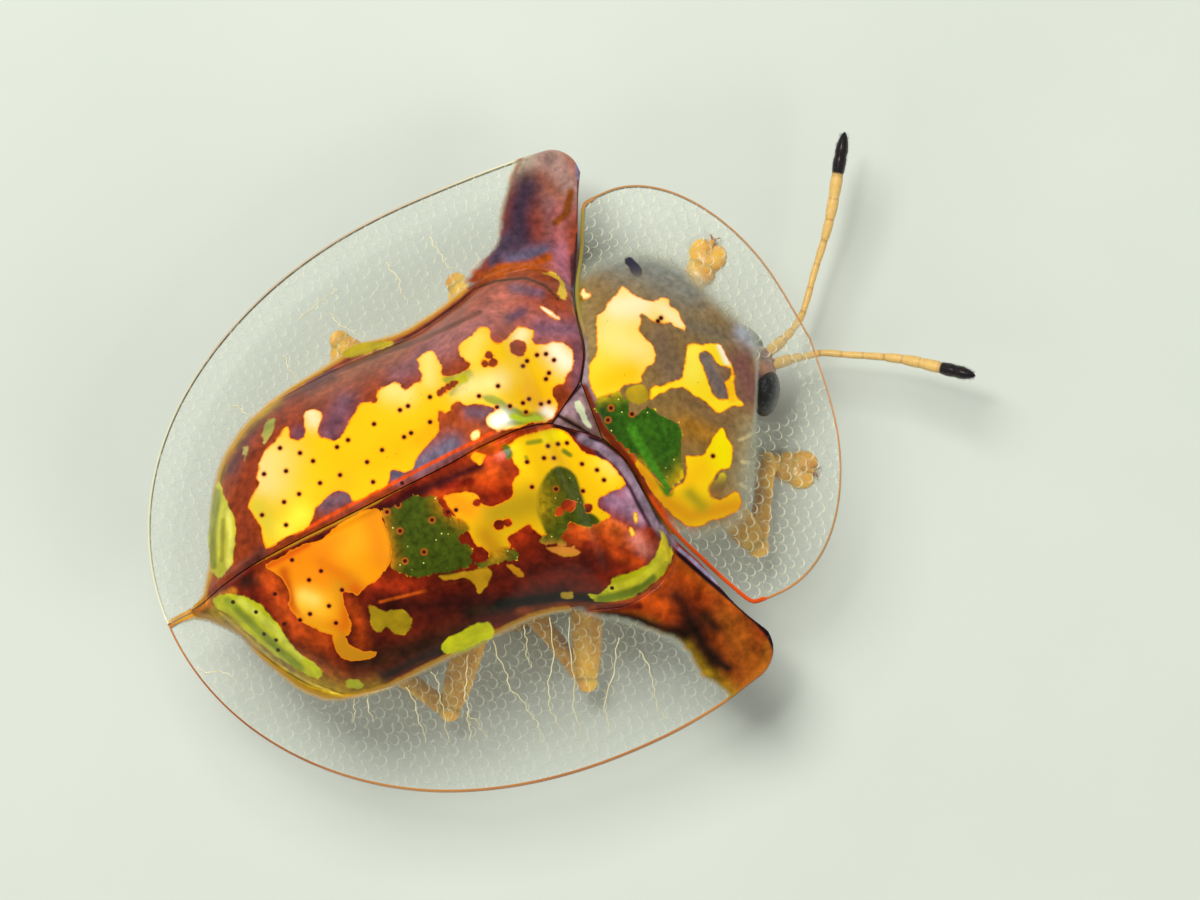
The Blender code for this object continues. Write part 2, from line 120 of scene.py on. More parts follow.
def photo_place(points):
    """Where points in metres fall in the photograph, in pixels from its top left corner."""
    ray = points - camera_place
    depth = -(ray @ toward_camera)
    across = PHOTO_WIDTH / 2 + focal_pixels * (ray @ picture_right) / depth
    down = PHOTO_HEIGHT / 2 - focal_pixels * (ray @ picture_up) / depth
    return np.stack([across, down], axis=-1)


def into_scene(name, data):
    """A new object for a mesh, a lamp or a lens, linked into the scene."""
    thing = bpy.data.objects.new(name, data)
    bpy.context.scene.collection.objects.link(thing)
    return thing


lens = bpy.data.cameras.new("photo_camera")
lens.lens = LENS
lens.sensor_width = SENSOR
lens.clip_start = MM
camera = into_scene("photo_camera", lens)
axes = np.stack([picture_right, picture_up, toward_camera], axis=1)
camera.matrix_world = Matrix.Translation(camera_place) @ Matrix(axes.tolist()).to_4x4()
bpy.context.scene.camera = camera
print("camera stands", round(camera_distance / MM), "mm away")

# %% [markdown]
# ## Curves through a few sizes
# The beetle's profiles are given as a few (place, value) pairs. A cubic that never swings past its
# points joins them, so that a list of six sizes is enough for a smooth back.

# %% A smooth curve through sizes
def through(points, x):
    """A cubic between neighbours, level where the values turn, so that it never overshoots."""
    px, py = np.array(points, float).T
    steps = np.diff(px)
    slopes = np.diff(py) / steps
    same_way = slopes[:-1] * slopes[1:] > 0
    total = np.where(same_way, slopes[:-1] + slopes[1:], 1.0)
    tangents = np.zeros(len(px))
    tangents[1:-1] = np.where(same_way, 2 * slopes[:-1] * slopes[1:] / total, 0.0)
    tangents[0], tangents[-1] = slopes[0], slopes[-1]
    i = np.clip(np.searchsorted(px, x) - 1, 0, len(steps) - 1)
    u = np.clip((x - px[i]) / steps[i], 0, 1)
    start = (1 + 2 * u) * (1 - u) ** 2 * py[i] + u * (1 - u) ** 2 * steps[i] * tangents[i]
    end = u * u * (3 - 2 * u) * py[i + 1] + u * u * (u - 1) * steps[i] * tangents[i + 1]
    return start + end


def bump(x, middle, reach):
    """A bell of height 1 at the middle, which falls away over its reach."""
    return np.exp(-(((x - middle) / reach) ** 2))


def ramp(x, low, high):
    """0 below low, 1 above high, with a soft S between."""
    u = np.clip((x - low) / (high - low), 0, 1)
    return u * u * (3 - 2 * u)


def spread(count, start, end, slow_start=0.0, slow_end=0.0):
    """count + 1 places whose spacing shrinks toward an end where an outline turns round."""
    u = (np.arange(count) + 0.5) / count
    pace = u / np.hypot(u, slow_start) * (1 - u) / np.hypot(1 - u, slow_end)
    gone = np.concatenate([[0.0], np.cumsum(pace)])
    return start + (end - start) * gone / gone[-1]


# %% [markdown]
# ## From points to a piece
# Every piece is made the same way: arrays of points and faces go into a mesh, doubled points at poles
# and tips are merged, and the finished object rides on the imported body. Attributes are numbers kept on
# each point, which the materials read later.

# %% A mesh piece from arrays
MERGE = 0.0004 * MM
SHARP_FROM = math.radians(60)  # edges bent more than that stay sharp


def piece(name, points, faces, look, slot, nodes=(), marks=None):
    """Puts points in metres and faces into a mesh piece; marks are named numbers or colours per point."""
    mesh = bpy.data.meshes.new(name)
    corners = [face for block in faces for face in block.tolist()]
    mesh.from_pydata(points.reshape(-1, 3).tolist(), [], corners)
    for word, values in (marks or {}).items():
        colour = values.ndim == 2
        layer = mesh.attributes.new(word, "FLOAT_COLOR" if colour else "FLOAT", "POINT")
        if colour:
            values = np.concatenate([values, np.ones((len(values), 1))], axis=1)
        layer.data.foreach_set("color" if colour else "value", values.ravel())
    made = bmesh.new()
    made.from_mesh(mesh)
    bmesh.ops.remove_doubles(made, verts=made.verts, dist=MERGE)
    made.to_mesh(mesh)
    made.free()
    mesh.materials.append(look)
    mesh.shade_smooth()
    mesh.set_sharp_from_angle(angle=SHARP_FROM)
    thing = into_scene(name, mesh)
    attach(thing, "root")
    if nodes:
        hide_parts(*nodes)
    print(name, len(mesh.vertices), "points", sum(len(block) for block in faces), "faces")
    return thing


def quads(rows, columns, wrap=False):
    """Four-cornered faces over a grid of numbered points; wrap joins the last column to the first."""
    number = np.arange(rows * columns).reshape(rows, columns)
    if wrap:
        number = np.concatenate([number, number[:, :1]], axis=1)
    corners = [number[:-1, :-1], number[:-1, 1:], number[1:, 1:], number[1:, :-1]]
    return np.stack(corners, axis=-1).reshape(-1, 4)


def round_grid(rings, around, first=0.0):
    """Angles over a ball: from pole to pole down the rows, and round the axis along them."""
    angle = np.linspace(first, math.pi, rings + 1)[:, None]
    turn = np.linspace(0, 2 * math.pi, around, endpoint=False)[None, :]
    return angle, turn


def round_the_edge(number):
    """The numbers round the edge of a grid, from its first corner along the first row."""
    return np.concatenate([number[0], number[1:, -1], number[-1, -2::-1], number[-2:0:-1, 0]])


def shell(top, under, every):
    """A closed plate: a fine grid above, every so many points of it below, and a wall between."""
    coarse = under[::every, ::every]
    first = top.shape[0] * top.shape[1]
    upper = np.arange(first).reshape(top.shape[:2])
    lower = first + np.arange(coarse.shape[0] * coarse.shape[1]).reshape(coarse.shape[:2])
    rim, floor_rim = round_the_edge(upper), round_the_edge(lower)
    along = (np.arange(len(floor_rim))[:, None] * every + np.arange(every + 1)) % len(rim)
    wall = np.concatenate([rim[along], np.roll(floor_rim, -1)[:, None], floor_rim[:, None]], axis=1)
    points = np.concatenate([top.reshape(-1, 3), coarse.reshape(-1, 3)])
    faces = [quads(*top.shape[:2])[:, ::-1], quads(*coarse.shape[:2]) + first, wall]
    return points, faces


def both_faces(values, every):
    """A shell's per-point numbers, from those on its fine grid."""
    kept = values[::every, ::every]
    tail = values.shape[2:]
    return np.concatenate([values.reshape(-1, *tail), kept.reshape(-1, *tail)])


# %% [markdown]
# ## Limbs as swept rings
# Legs, feelers and hairs are all rings carried along a path. At each point the ring stands at right
# angles to the path, its width level and its height upright, so one function makes a round hair, a flat
# foot pad and a swollen thigh.

# %% Rings carried along a path
def sweep(path, wide, high, around=14):
    """Ring = path point + side * wide * cos + lift * high * sin, with both ends closed."""
    path = np.asarray(path, float)
    tangent = np.gradient(path, axis=0)
    tangent /= np.linalg.norm(tangent, axis=1, keepdims=True)
    side = np.cross([0.0, 0.0, 1.0], tangent)
    side /= np.maximum(np.linalg.norm(side, axis=1, keepdims=True), 1e-6)
    lift = np.cross(tangent, side)
    turn = np.linspace(0, 2 * math.pi, around, endpoint=False)[None, :, None]
    wide = np.broadcast_to(wide, len(path))[:, None, None]
    high = np.broadcast_to(high, len(path))[:, None, None]
    rings = path[:, None] + side[:, None] * wide * np.cos(turn) + lift[:, None] * high * np.sin(turn)
    first, last = np.arange(around), (len(path) - 1) * around + np.arange(around)
    faces = [quads(len(path), around, wrap=True), first[None, ::-1], last[None]]
    return rings.reshape(-1, 3), faces


def smooth_path(places, count):
    """count points along a smooth curve through a few places."""
    places = np.asarray(places, float)
    knots = np.linspace(0, 1, len(places))
    u = np.linspace(0, 1, count)
    return np.stack([through(list(zip(knots, column)), u) for column in places.T], axis=1)


def gathered(parts):
    """Several (points, faces) as one; faces that share a corner count stay together."""
    points, faces, first = [], [], 0
    for more, blocks in parts:
        points.append(more)
        faces += [block + first for block in blocks]
        first += len(more)
    return np.concatenate(points), faces


def onto_world(points):
    return world(points[:, 0], points[:, 1], points[:, 2])


# %% [markdown]
# ## Colours and nodes
# Colours are written as sRGB hex values, the way they are read off a screen, and one function makes them
# linear for the shader. Another adds a node with its settings, values and links, and two short ones start
# a material and link its shader, which is all that the materials below need.

# %% Colour and node helpers
def linear(code):
    """An sRGB hex value as linear red, green and blue."""
    parts = np.array([int(code[i:i + 2], 16) for i in (1, 3, 5)]) / 255
    return np.where(parts <= 0.04045, parts / 12.92, ((parts + 0.055) / 1.055) ** 2.4)


def rgba(code):
    return (*linear(code), 1.0)


def node(tree, kind, inputs=(), output=0, **settings):
    """Adds one node: settings are its properties, inputs its values or links, in order or by name."""
    made = tree.nodes.new("ShaderNode" + kind)
    for word, value in settings.items():
        setattr(made, word, value)
    for word, value in inputs.items() if isinstance(inputs, dict) else enumerate(inputs):
        if isinstance(value, bpy.types.NodeSocket):
            tree.links.new(value, made.inputs[word])
        else:
            made.inputs[word].default_value = value
    return made.outputs[output]


def wire(tree, shader, **outputs):
    """Links nodes' outputs to the shader's sockets of those names."""
    for word, output in outputs.items():
        tree.links.new(output, shader.inputs[word.replace("_", " ")])


def start_material(name, **values):
    """A new material with its Principled shader's plain values set, and its Object coordinates."""
    made = bpy.data.materials.new(name)
    made.use_nodes = True
    shader = made.node_tree.nodes["Principled BSDF"]
    for word, value in values.items():
        shader.inputs[word.replace("_", " ")].default_value = value
    return made, made.node_tree, shader, node(made.node_tree, "TexCoord", output="Object")

# %% [markdown]
# ## The shape of the wing cases
# Each wing case is half of an oval shield. In the middle it rises to a dome, the disc, with a hump
# behind the small triangle between the bases; round that runs a flat clear brim. Profiles along the body
# give the height of the keel, the disc's foot and the rim, and a power curve joins them across. Small
# swellings go on top: a ridge beside the seam, a welt round the foot and a knob at each shoulder.

# %% Sizes and height of the wing cases
CASE_HALF_WIDTH = 5.62
CASE_WIDEST_S = 7.2
CASE_FRONT_S = 10.3
SHOULDER_RADIUS = 0.45
SCUTELLUM_TIP_S = 8.0
BASE_S = 8.72
BASE_IN_T = 0.55
BASE_LINE = [  # (t, s) of the front edge, from the scutellum out to the shoulder
    (0.55, 8.72), (0.75, 8.83), (1.1, 8.99), (1.4, 9.05), (1.85, 9.1), (2.3, 9.2), (2.6, 9.31),
    (3.1, 9.55), (3.5, 9.73), (3.9, 9.91), (4.3, 10.09), (4.7, 10.3),
]
BASE_FROM_S = [(s, t) for t, s in BASE_LINE]
SEAM = 0.012  # half the hairline between the two wing cases
KEEL_HEIGHT = [
    (0.0, 1.95), (0.7, 2.35), (1.3, 3.1), (2.0, 3.67), (2.9, 3.99), (3.9, 4.18), (4.9, 4.41),
    (6.0, 4.66), (6.6, 4.9), (7.3, 4.97), (7.7, 4.72), (8.05, 4.27), (8.7, 4.05), (10.4, 3.1),
]
DISC_HALF_WIDTH = [
    (0.5, 0.0), (1.0, 0.6), (1.5, 1.5), (2.0, 2.25), (2.7, 2.75), (3.6, 2.93), (5.0, 3.0),
    (6.2, 2.95), (7.2, 3.12), (8.0, 3.33), (8.6, 3.25), (9.0, 3.0), (9.25, 2.6), (9.5, 2.0), (10.4, 1.8),
]
DISC_FOOT_HEIGHT = [(0.0, 1.95), (1.0, 2.15), (3.0, 2.5), (8.0, 2.6), (10.4, 2.6)]
RIM_HEIGHT = [(0.0, 1.95), (1.0, 1.75), (3.5, 1.42), (7.5, 1.4), (10.4, 1.9)]
RIM_TAPER = 0.037  # how fast the brim narrows ahead of its widest place
DISC_FLATNESS, DISC_SHOULDER = 2.5, 0.85  # the powers of the curve from the seam to the foot
REAR_POWER = 2.16  # above 2, the rear is fuller than an ellipse


def rim_half_width(s):
    """The outline: a half ellipse behind, nearly straight sides, round shoulders."""
    behind = np.clip((CASE_WIDEST_S - s) / CASE_WIDEST_S, 0, 1)
    ahead = np.clip(s - CASE_WIDEST_S, 0, None)
    corner = np.clip(s - (CASE_FRONT_S - SHOULDER_RADIUS), 0, SHOULDER_RADIUS)
    rounding = SHOULDER_RADIUS - np.sqrt(SHOULDER_RADIUS**2 - corner**2)
    return CASE_HALF_WIDTH * np.sqrt(1 - behind**REAR_POWER) - RIM_TAPER * ahead**2 - rounding


def base_s(t):
    """The front edge, a wavy V that sweeps forward to the shoulders."""
    return through(BASE_LINE, np.abs(t))


def inner_edge(s):
    """Where a wing case starts, out from the midline: the seam, the scutellum, then the base."""
    beside = np.clip((s - SCUTELLUM_TIP_S) / (BASE_S - SCUTELLUM_TIP_S), 0, 1)
    return SEAM + (BASE_IN_T - SEAM) * beside + through(BASE_FROM_S, s) - BASE_IN_T


def case_height(s, t):
    """Brim + (keel - foot) * (1 - x^2.5)^0.85, where x runs from 0 at the seam to 1 at the foot."""
    foot, disc = through(DISC_FOOT_HEIGHT, s), through(DISC_HALF_WIDTH, s)
    width = rim_half_width(s)
    out = np.abs(t)
    across = np.clip((width - out) / np.maximum(width - disc, 0.1), 0, 1)
    brim = through(RIM_HEIGHT, s) + (foot - through(RIM_HEIGHT, s)) * across
    inside = np.clip(1 - (out / np.maximum(disc, 0.01)) ** DISC_FLATNESS, 0, 1)
    return brim + (through(KEEL_HEIGHT, s) - foot) * inside**DISC_SHOULDER


def case_relief(s, t):
    """Swellings in millimetres: ridge beside the seam, welt round the foot, shoulder knob, hollows."""
    out = np.abs(t)
    disc = through(DISC_HALF_WIDTH, s)
    on_disc = ramp(s, 0.9, 1.6)
    ridge = 0.05 * bump(out, 0.09, 0.07) * ramp(s, 0.0, 0.3)
    welt = 0.05 * bump(out, disc + 0.05, 0.06) * on_disc * (1 - ramp(s, 8.9, 9.3))
    knob = 0.12 * bump(s, 8.75, 0.3) * bump(out, 2.75, 0.35)
    hollow = -0.07 * bump(s, 8.45, 0.35) * bump(out, 1.7, 0.8)
    roll = 0.025 * np.sin(2.1 * s + 0.8) * np.sin(2.6 * out) * ramp(disc - out, 0.3, 0.6)
    return ridge + welt + knob + hollow + roll


# %% [markdown]
# ## The shape of the neck shield
# The neck shield covers the head like a visor: an oval plate whose front is a half ellipse and whose
# back follows the V of the wing cases. Its middle carries on their dome and runs down to the clear rim.

# %% Sizes and height of the neck shield
SHIELD_HALF_WIDTH = 4.14
SHIELD_WIDEST_S = 10.6
SHIELD_FRONT_S = 13.0
SHIELD_RIM = 1.95
SHIELD_TOP = 4.0
SHIELD_SWELL = 0.35  # how far the middle of the clear brim stands above its rim
SHIELD_DOME_LENGTH, SHIELD_DOME_HALF_WIDTH, SHIELD_DOME_POWER = 3.1, 3.4, 1.3
SHIELD_GAP = 0.05  # the groove between it and the wing cases
CORNER_SHARPNESS, FRONT_CLOSING = 10.0, 40  # of its side corners, and of its front edge


def shield_half_width(s):
    """The V of its base behind, a half ellipse in front, joined by a soft minimum."""
    base = through(BASE_FROM_S, s - SHIELD_GAP)
    ahead = np.clip((s - SHIELD_WIDEST_S) / (SHIELD_FRONT_S - SHIELD_WIDEST_S), 0, 1)
    lobe = SHIELD_HALF_WIDTH * np.sqrt(1 - ahead**2)
    both = np.exp(-CORNER_SHARPNESS * base) + np.exp(-CORNER_SHARPNESS * lobe)
    return -np.log(both) / CORNER_SHARPNESS * (1 - ahead**FRONT_CLOSING)


def shield_height(s, t):
    """Rim + a swelling of the middle + a dome that starts level with the wing cases' base."""
    ahead = (s - base_s(t) - SHIELD_GAP) / SHIELD_DOME_LENGTH
    dome = np.clip(1 - ahead * np.abs(ahead) - (t / SHIELD_DOME_HALF_WIDTH) ** 2, 0, 1)
    front = (s - SHIELD_WIDEST_S) / (SHIELD_FRONT_S - SHIELD_WIDEST_S)
    toward_rim = np.clip(front, 0, 1) ** 2 + (t / SHIELD_HALF_WIDTH) ** 2
    brim = SHIELD_RIM + SHIELD_SWELL * np.clip(1 - toward_rim, 0, 1)
    return brim + (SHIELD_TOP - brim) * dome**SHIELD_DOME_POWER


# %% [markdown]
# ## Painting by outline
# The gold, green and brown of a live tortoise beetle lie in patches with sharp edges under clear cuticle.
# Each patch is traced as an outline on the photograph, in its pixels. Every point of a shell knows where
# it falls in the photograph, so its distance to each outline, in millimetres, can be stored on the point.
# The material then cuts the edge where the distance is zero, which stays crisp at any size, and a mirror
# view or a turn of the model keeps the markings in place, because they belong to the surface.

# %% Distances from points to outlines, dots and strokes
FAR = 0.3  # millimetres past which a distance no longer matters
CORNER_CUT = 0.2  # the share of a side that a traced outline's rounded corner takes
SOFT_BRUSH = 5  # pixels: a wider stroke fades like a bell, a finer one has an edge
STROKE_REACH = 2.2  # radii past which a stroke no longer shows


def near(places, shape, reach):
    """Which places lie within reach of a shape's bounding box, so that the rest can be skipped."""
    low, high = shape.min(axis=0) - reach, shape.max(axis=0) + reach
    return np.flatnonzero(((places > low) & (places < high)).all(axis=1))


def to_line(places, line):
    """The shortest distance from each place to a line of points."""
    start, step = line[:-1], np.diff(line, axis=0)
    length = np.maximum((step**2).sum(axis=1), 1e-9)
    best = np.full(len(places), np.inf)
    for begin, move, size in zip(start, step, length):
        off = places - begin
        u = np.clip(off @ move / size, 0, 1)
        best = np.minimum(best, ((off - u[:, None] * move) ** 2).sum(axis=1))
    return np.sqrt(best)


def rounded(outline):
    """A closed outline with its corners cut once, so that it bends as the patch edges do."""
    outline = np.asarray(outline, float)
    after = np.roll(outline, -1, axis=0)
    first = (1 - CORNER_CUT) * outline + CORNER_CUT * after
    second = CORNER_CUT * outline + (1 - CORNER_CUT) * after
    return np.stack([first, second], axis=1).reshape(-1, 2)


def inside_by(places, outline):
    """Millimetres inside a closed outline, negative outside."""
    ring = rounded(outline)
    ring = np.concatenate([ring, ring[:1]])
    result = np.full(len(places), -FAR)
    chosen = near(places, ring, FAR * PIXELS_PER_MM)
    x, y = places[chosen].T
    inside = np.zeros(len(chosen), bool)
    for (x0, y0), (x1, y1) in zip(ring[:-1], ring[1:]):
        if y0 != y1:
            crosses = (y0 > y) != (y1 > y)
            inside ^= crosses & (x < (x1 - x0) * (y - y0) / (y1 - y0) + x0)
    gone = to_line(places[chosen], ring) / PIXELS_PER_MM
    result[chosen] = np.clip(np.where(inside, gone, -gone), -FAR, FAR)
    return result


def within_dots(places, dots):
    """Millimetres inside the nearest of several round dots (x, y, radius)."""
    result = np.full(len(places), -FAR)
    for x, y, radius in dots:
        chosen = near(places, np.array([[x, y]]), radius + FAR * PIXELS_PER_MM)
        gone = np.hypot(places[chosen, 0] - x, places[chosen, 1] - y)
        result[chosen] = np.maximum(result[chosen], (radius - gone) / PIXELS_PER_MM)
    return result


def shaded(places, colour, strokes):
    """Soft strokes over a colour per point; each is a colour, a radius in pixels and a line."""
    colour = colour.copy()
    for code, radius, line in strokes:
        line = np.array(line, float)
        line = np.concatenate([line, line[-1:] + 0.1])
        chosen = near(places, line, STROKE_REACH * radius)
        edge = 2 if radius > SOFT_BRUSH else 4
        cover = np.exp(-((to_line(places[chosen], line) / radius) ** edge))[:, None]
        colour[chosen] = colour[chosen] * (1 - cover) + linear(code) * cover
    return colour

# %% [markdown]
# ## The markings, traced
# These are the outlines themselves, in pixels of the photograph. A patch is a kind, a colour and an
# outline. Gold has an orange edge, lime has none, green is dark green with gold specks, a painted green
# reflection, and spot is dark pigment. Strokes are soft touches of colour inside the patches and on the
# cuticle between; many of them are painted light: the palest are painted highlights, the mauve and
# lavender ones painted reflection, and the darkest on the flanks painted shade.

# %% Left wing case
LEFT_PATCHES = [
    ("gold", "#F7C410", [
        (258, 470), (260, 460), (266, 449), (273, 444), (279, 436), (284, 428), (289, 426), (289, 436),
        (297, 441), (305, 436), (303, 418), (305, 410), (311, 407), (321, 410), (322, 418), (318, 426),
        (317, 433), (322, 439), (338, 439), (345, 431), (351, 418), (356, 409), (361, 402), (372, 402),
        (376, 396), (378, 390), (390, 382), (398, 381), (404, 385), (410, 387), (415, 383), (422, 382),
        (423, 375), (418, 370), (420, 364), (416, 360), (420, 355), (428, 350), (434, 352), (438, 360),
        (443, 366), (442, 376), (450, 376), (460, 373), (468, 368), (470, 364), (465, 361), (458, 357),
        (458, 346), (461, 342), (470, 336), (474, 331), (480, 327), (486, 326), (490, 330), (490, 337),
        (493, 343), (499, 344), (505, 340), (511, 334), (516, 328), (522, 326), (528, 328), (534, 329),
        (534, 333), (532, 338), (535, 344), (544, 344), (552, 342), (562, 342), (569, 345), (574, 351),
        (574, 362), (571, 372), (565, 376), (564, 384), (558, 384), (554, 387), (553, 394), (557, 400),
        (559, 403), (557, 410), (553, 418), (548, 422), (532, 424), (522, 428), (511, 430), (499, 432),
        (490, 428), (485, 424), (485, 418), (491, 412), (496, 409), (487, 405), (476, 404), (468, 406),
        (462, 405), (460, 402), (455, 402), (451, 406), (452, 411), (446, 414), (442, 410), (438, 412),
        (438, 420), (440, 428), (437, 434), (430, 441), (423, 450), (416, 458), (414, 469), (406, 474),
        (400, 472), (392, 470), (390, 480), (387, 486), (379, 490), (373, 493), (362, 499), (352, 502),
        (349, 494), (342, 491), (333, 492), (325, 498), (322, 504), (315, 509), (314, 517), (310, 525),
        (304, 531), (293, 536), (285, 538), (280, 542), (275, 546), (266, 549), (264, 542), (261, 533),
        (259, 523), (253, 515), (248, 507), (250, 499), (258, 488), (256, 477),
    ]),
    ("gold", "#F9DF8C", [
        (470, 436), (472, 431), (478, 429), (481, 433), (480, 438), (475, 441), (471, 440),
    ]),
    ("gold", "#FBEFC4", [
        (539, 307), (542, 305), (550, 309), (557, 314), (562, 320), (556, 320), (546, 314),
    ]),
    # Painted highlight: this yellow streak along the edge by the shoulder.
    ("lime", "#E8C030", [
        (541, 272), (553, 273), (560, 277), (565, 284), (567, 299), (562, 299), (557, 292), (561, 285),
        (556, 278), (548, 275),
    ]),
    ("lime", "#A09A10", [
        (443, 378), (458, 374), (468, 369), (473, 374), (472, 382), (466, 389), (456, 393), (450, 395),
        (452, 388), (446, 382),
    ]),
    ("lime", "#8A9410", [
        (482, 396), (492, 396), (500, 400), (507, 406), (515, 409), (525, 414), (536, 413), (543, 414),
        (542, 419), (530, 422), (515, 424), (506, 424), (508, 418), (504, 410), (497, 404), (488, 401),
    ]),
    ("lime", "#C2BC34", [
        (218, 478), (224, 496), (230, 508), (235, 520), (235, 545), (231, 566), (221, 580), (211, 572),
        (208, 545), (210, 505),
    ]),
    ("lime", "#8E9440", [(262, 432), (266, 421), (276, 418), (274, 428), (270, 438), (263, 446)]),
    ("lime", "#8A8A48", [(243, 448), (248, 446), (248, 456), (244, 462)]),
    ("lime", "#B8A024", [
        (340, 352), (358, 343), (380, 341), (396, 342), (386, 347), (366, 354), (346, 360),
    ]),
]
LEFT_HOLES = [
    (518, 348, 8), (489, 355, 3.2), (485, 364, 3), (493, 363, 3.8), (406, 385, 4), (374, 400, 3),
    (440, 393, 2.8), (444, 390, 2.8), (448, 387, 2.8), (453, 384, 2.8), (456, 382, 2.4),
]
LEFT_DOTS = [
    (537, 355), (546, 354), (554, 360), (527, 361), (523, 366), (549, 373), (546, 379), (498, 386),
    (479, 396), (430, 397), (529, 399), (523, 403), (541, 404), (549, 402), (510, 406), (526, 412),
    (497, 407), (430, 422), (408, 406), (400, 410), (374, 424), (411, 433), (404, 437), (348, 440),
    (337, 447), (382, 450), (280, 448), (300, 453), (313, 461), (367, 462), (264, 474), (286, 471),
    (340, 475), (320, 483), (373, 482), (299, 494), (284, 502), (262, 515), (286, 525), (402, 483),
]
# Painted light: the pale cream to near-white strokes, such as #FCEFC8, #FBE9A8, #FFF9E6, #FFF3D8, F9DC80 and
# #F4D67C, are painted highlights and painted milky reflection on the gold.
LEFT_GOLD_STROKES = [
    ("#F9DA74", 13, [(392, 390), (404, 392)]), ("#F9D868", 9, [(428, 358), (430, 380)]),
    ("#F9DC80", 12, [(462, 388), (500, 380)]), ("#F9D050", 10, [(478, 340), (470, 355)]),
    ("#FCEFC8", 12, [(556, 350), (566, 362)]), ("#FBE9A8", 8, [(522, 334), (520, 338)]),
    ("#FFF9E6", 9, [(497, 421), (504, 418)]), ("#F7D468", 22, [(276, 458), (272, 480)]),
    ("#F4D67C", 14, [(262, 462), (262, 482)]), ("#F2B808", 22, [(350, 470), (395, 450)]),
    ("#F6B60A", 14, [(530, 390), (540, 398)]), ("#DCC234", 13, [(258, 508), (272, 528)]),
    ("#FFE23A", 12, [(300, 515), (285, 530)]), ("#F2DFA6", 9, [(311, 414), (314, 420)]),
    ("#FFF3D8", 6, [(546, 411), (551, 414)]), ("#C0B61C", 5, [(452, 384), (464, 378)]),
    ("#B8CC24", 3, [(512, 416), (524, 420), (540, 418)]),
    ("#8A8A1C", 4, [(213, 566), (213, 530), (217, 492)]),
    ("#E0D65A", 3, [(228, 566), (231, 540), (228, 512)]), ("#9A921E", 2.4, [(222, 560), (223, 520)]),
    ("#F2B40C", 12, [(325, 500), (345, 484)]), ("#EFAE0A", 10, [(420, 440), (436, 425)]),
]
LEFT_CUTICLE = "#8E3814"
# Painted light among these strokes: the mauve, purple-grey and lavender ones on the dome, beside the seam and
# along the base are painted reflection; #8E5038, #662E1E, #5E3030 and #84341A along the flank are painted
# shade.
LEFT_STROKES = [
    ("#7E4A50", 14, [(398, 372), (440, 345)]), ("#9C5A54", 18, [(448, 340), (500, 315)]),
    ("#AE5E4C", 20, [(505, 300), (548, 335)]), ("#7A5360", 6, [(514, 288), (540, 293)]),
    ("#6E4A58", 6, [(510, 318), (522, 312)]), ("#7E5260", 12, [(540, 328), (575, 330)]),
    ("#74464E", 8, [(578, 345), (577, 385)]), ("#6E4450", 15, [(345, 402), (330, 432)]),
    ("#8E5038", 12, [(300, 395), (400, 350)]), ("#70404C", 8, [(298, 432), (299, 434)]),
    ("#A8471C", 15, [(448, 415), (478, 438)]), ("#6A4A54", 8, [(470, 412), (492, 414)]),
    ("#6C6070", 12, [(418, 466), (452, 444)]), ("#64596A", 8, [(392, 474), (398, 476)]),
    ("#6E4E58", 10, [(325, 504), (350, 495)]), ("#5A2A22", 8, [(262, 552), (240, 575)]),
    ("#A0480E", 6, [(486, 278), (520, 268), (552, 270)]),
    ("#3E1C0C", 1.7, [
        (236, 446), (244, 426), (264, 405), (307, 383), (362, 361), (400, 342), (430, 324), (456, 305),
        (474, 289),
    ]),
    ("#4E280E", 1.4, [(474, 289), (496, 281), (526, 278), (546, 286), (558, 299)]),
    ("#662E1E", 2.4, [(300, 385), (360, 362), (430, 336), (480, 312)]),
    ("#5E3030", 8, [(232, 470), (252, 430), (292, 395), (330, 374)]),
    ("#84341A", 10, [(246, 540), (244, 480), (270, 425), (300, 402)]),
    ("#DC4A10", 2.0, [(296, 534), (360, 500), (430, 464), (492, 433)]),
    ("#A8861C", 6, [(206, 575), (207, 540), (208, 500), (219, 462), (242, 428), (276, 399)]),
    ("#6E5410", 1.6, [(214, 560), (214, 504), (225, 466)]),
    ("#3A1010", 3, [(556, 420), (568, 408), (578, 392), (582, 380)]),
    ("#D48A22", 5, [(165, 626), (232, 590)]),
    # Painted reflection: the wide pale stroke along the outer rim.
    ("#D2D0AE", 22, [
        (165, 618), (150, 540), (152, 470), (170, 400), (205, 335), (260, 275), (330, 225), (400, 190),
        (470, 167), (536, 150),
    ]),
]
LEFT_DISC = [
    (165, 624), (202, 605), (212, 560), (212, 500), (222, 460), (245, 425), (280, 395), (330, 365),
    (360, 345), (400, 335), (440, 310), (470, 285), (500, 271), (532, 266), (556, 276), (574, 302),
    (620, 420), (400, 560), (230, 640), (165, 640),
]
LEFT_SHOULDER = [
    (527, 136), (519, 156), (512, 172), (507, 190), (503, 204), (500, 222), (500, 234), (494, 247),
    (484, 259), (474, 270), (462, 284), (500, 290), (530, 296), (566, 300), (600, 300), (600, 138),
]
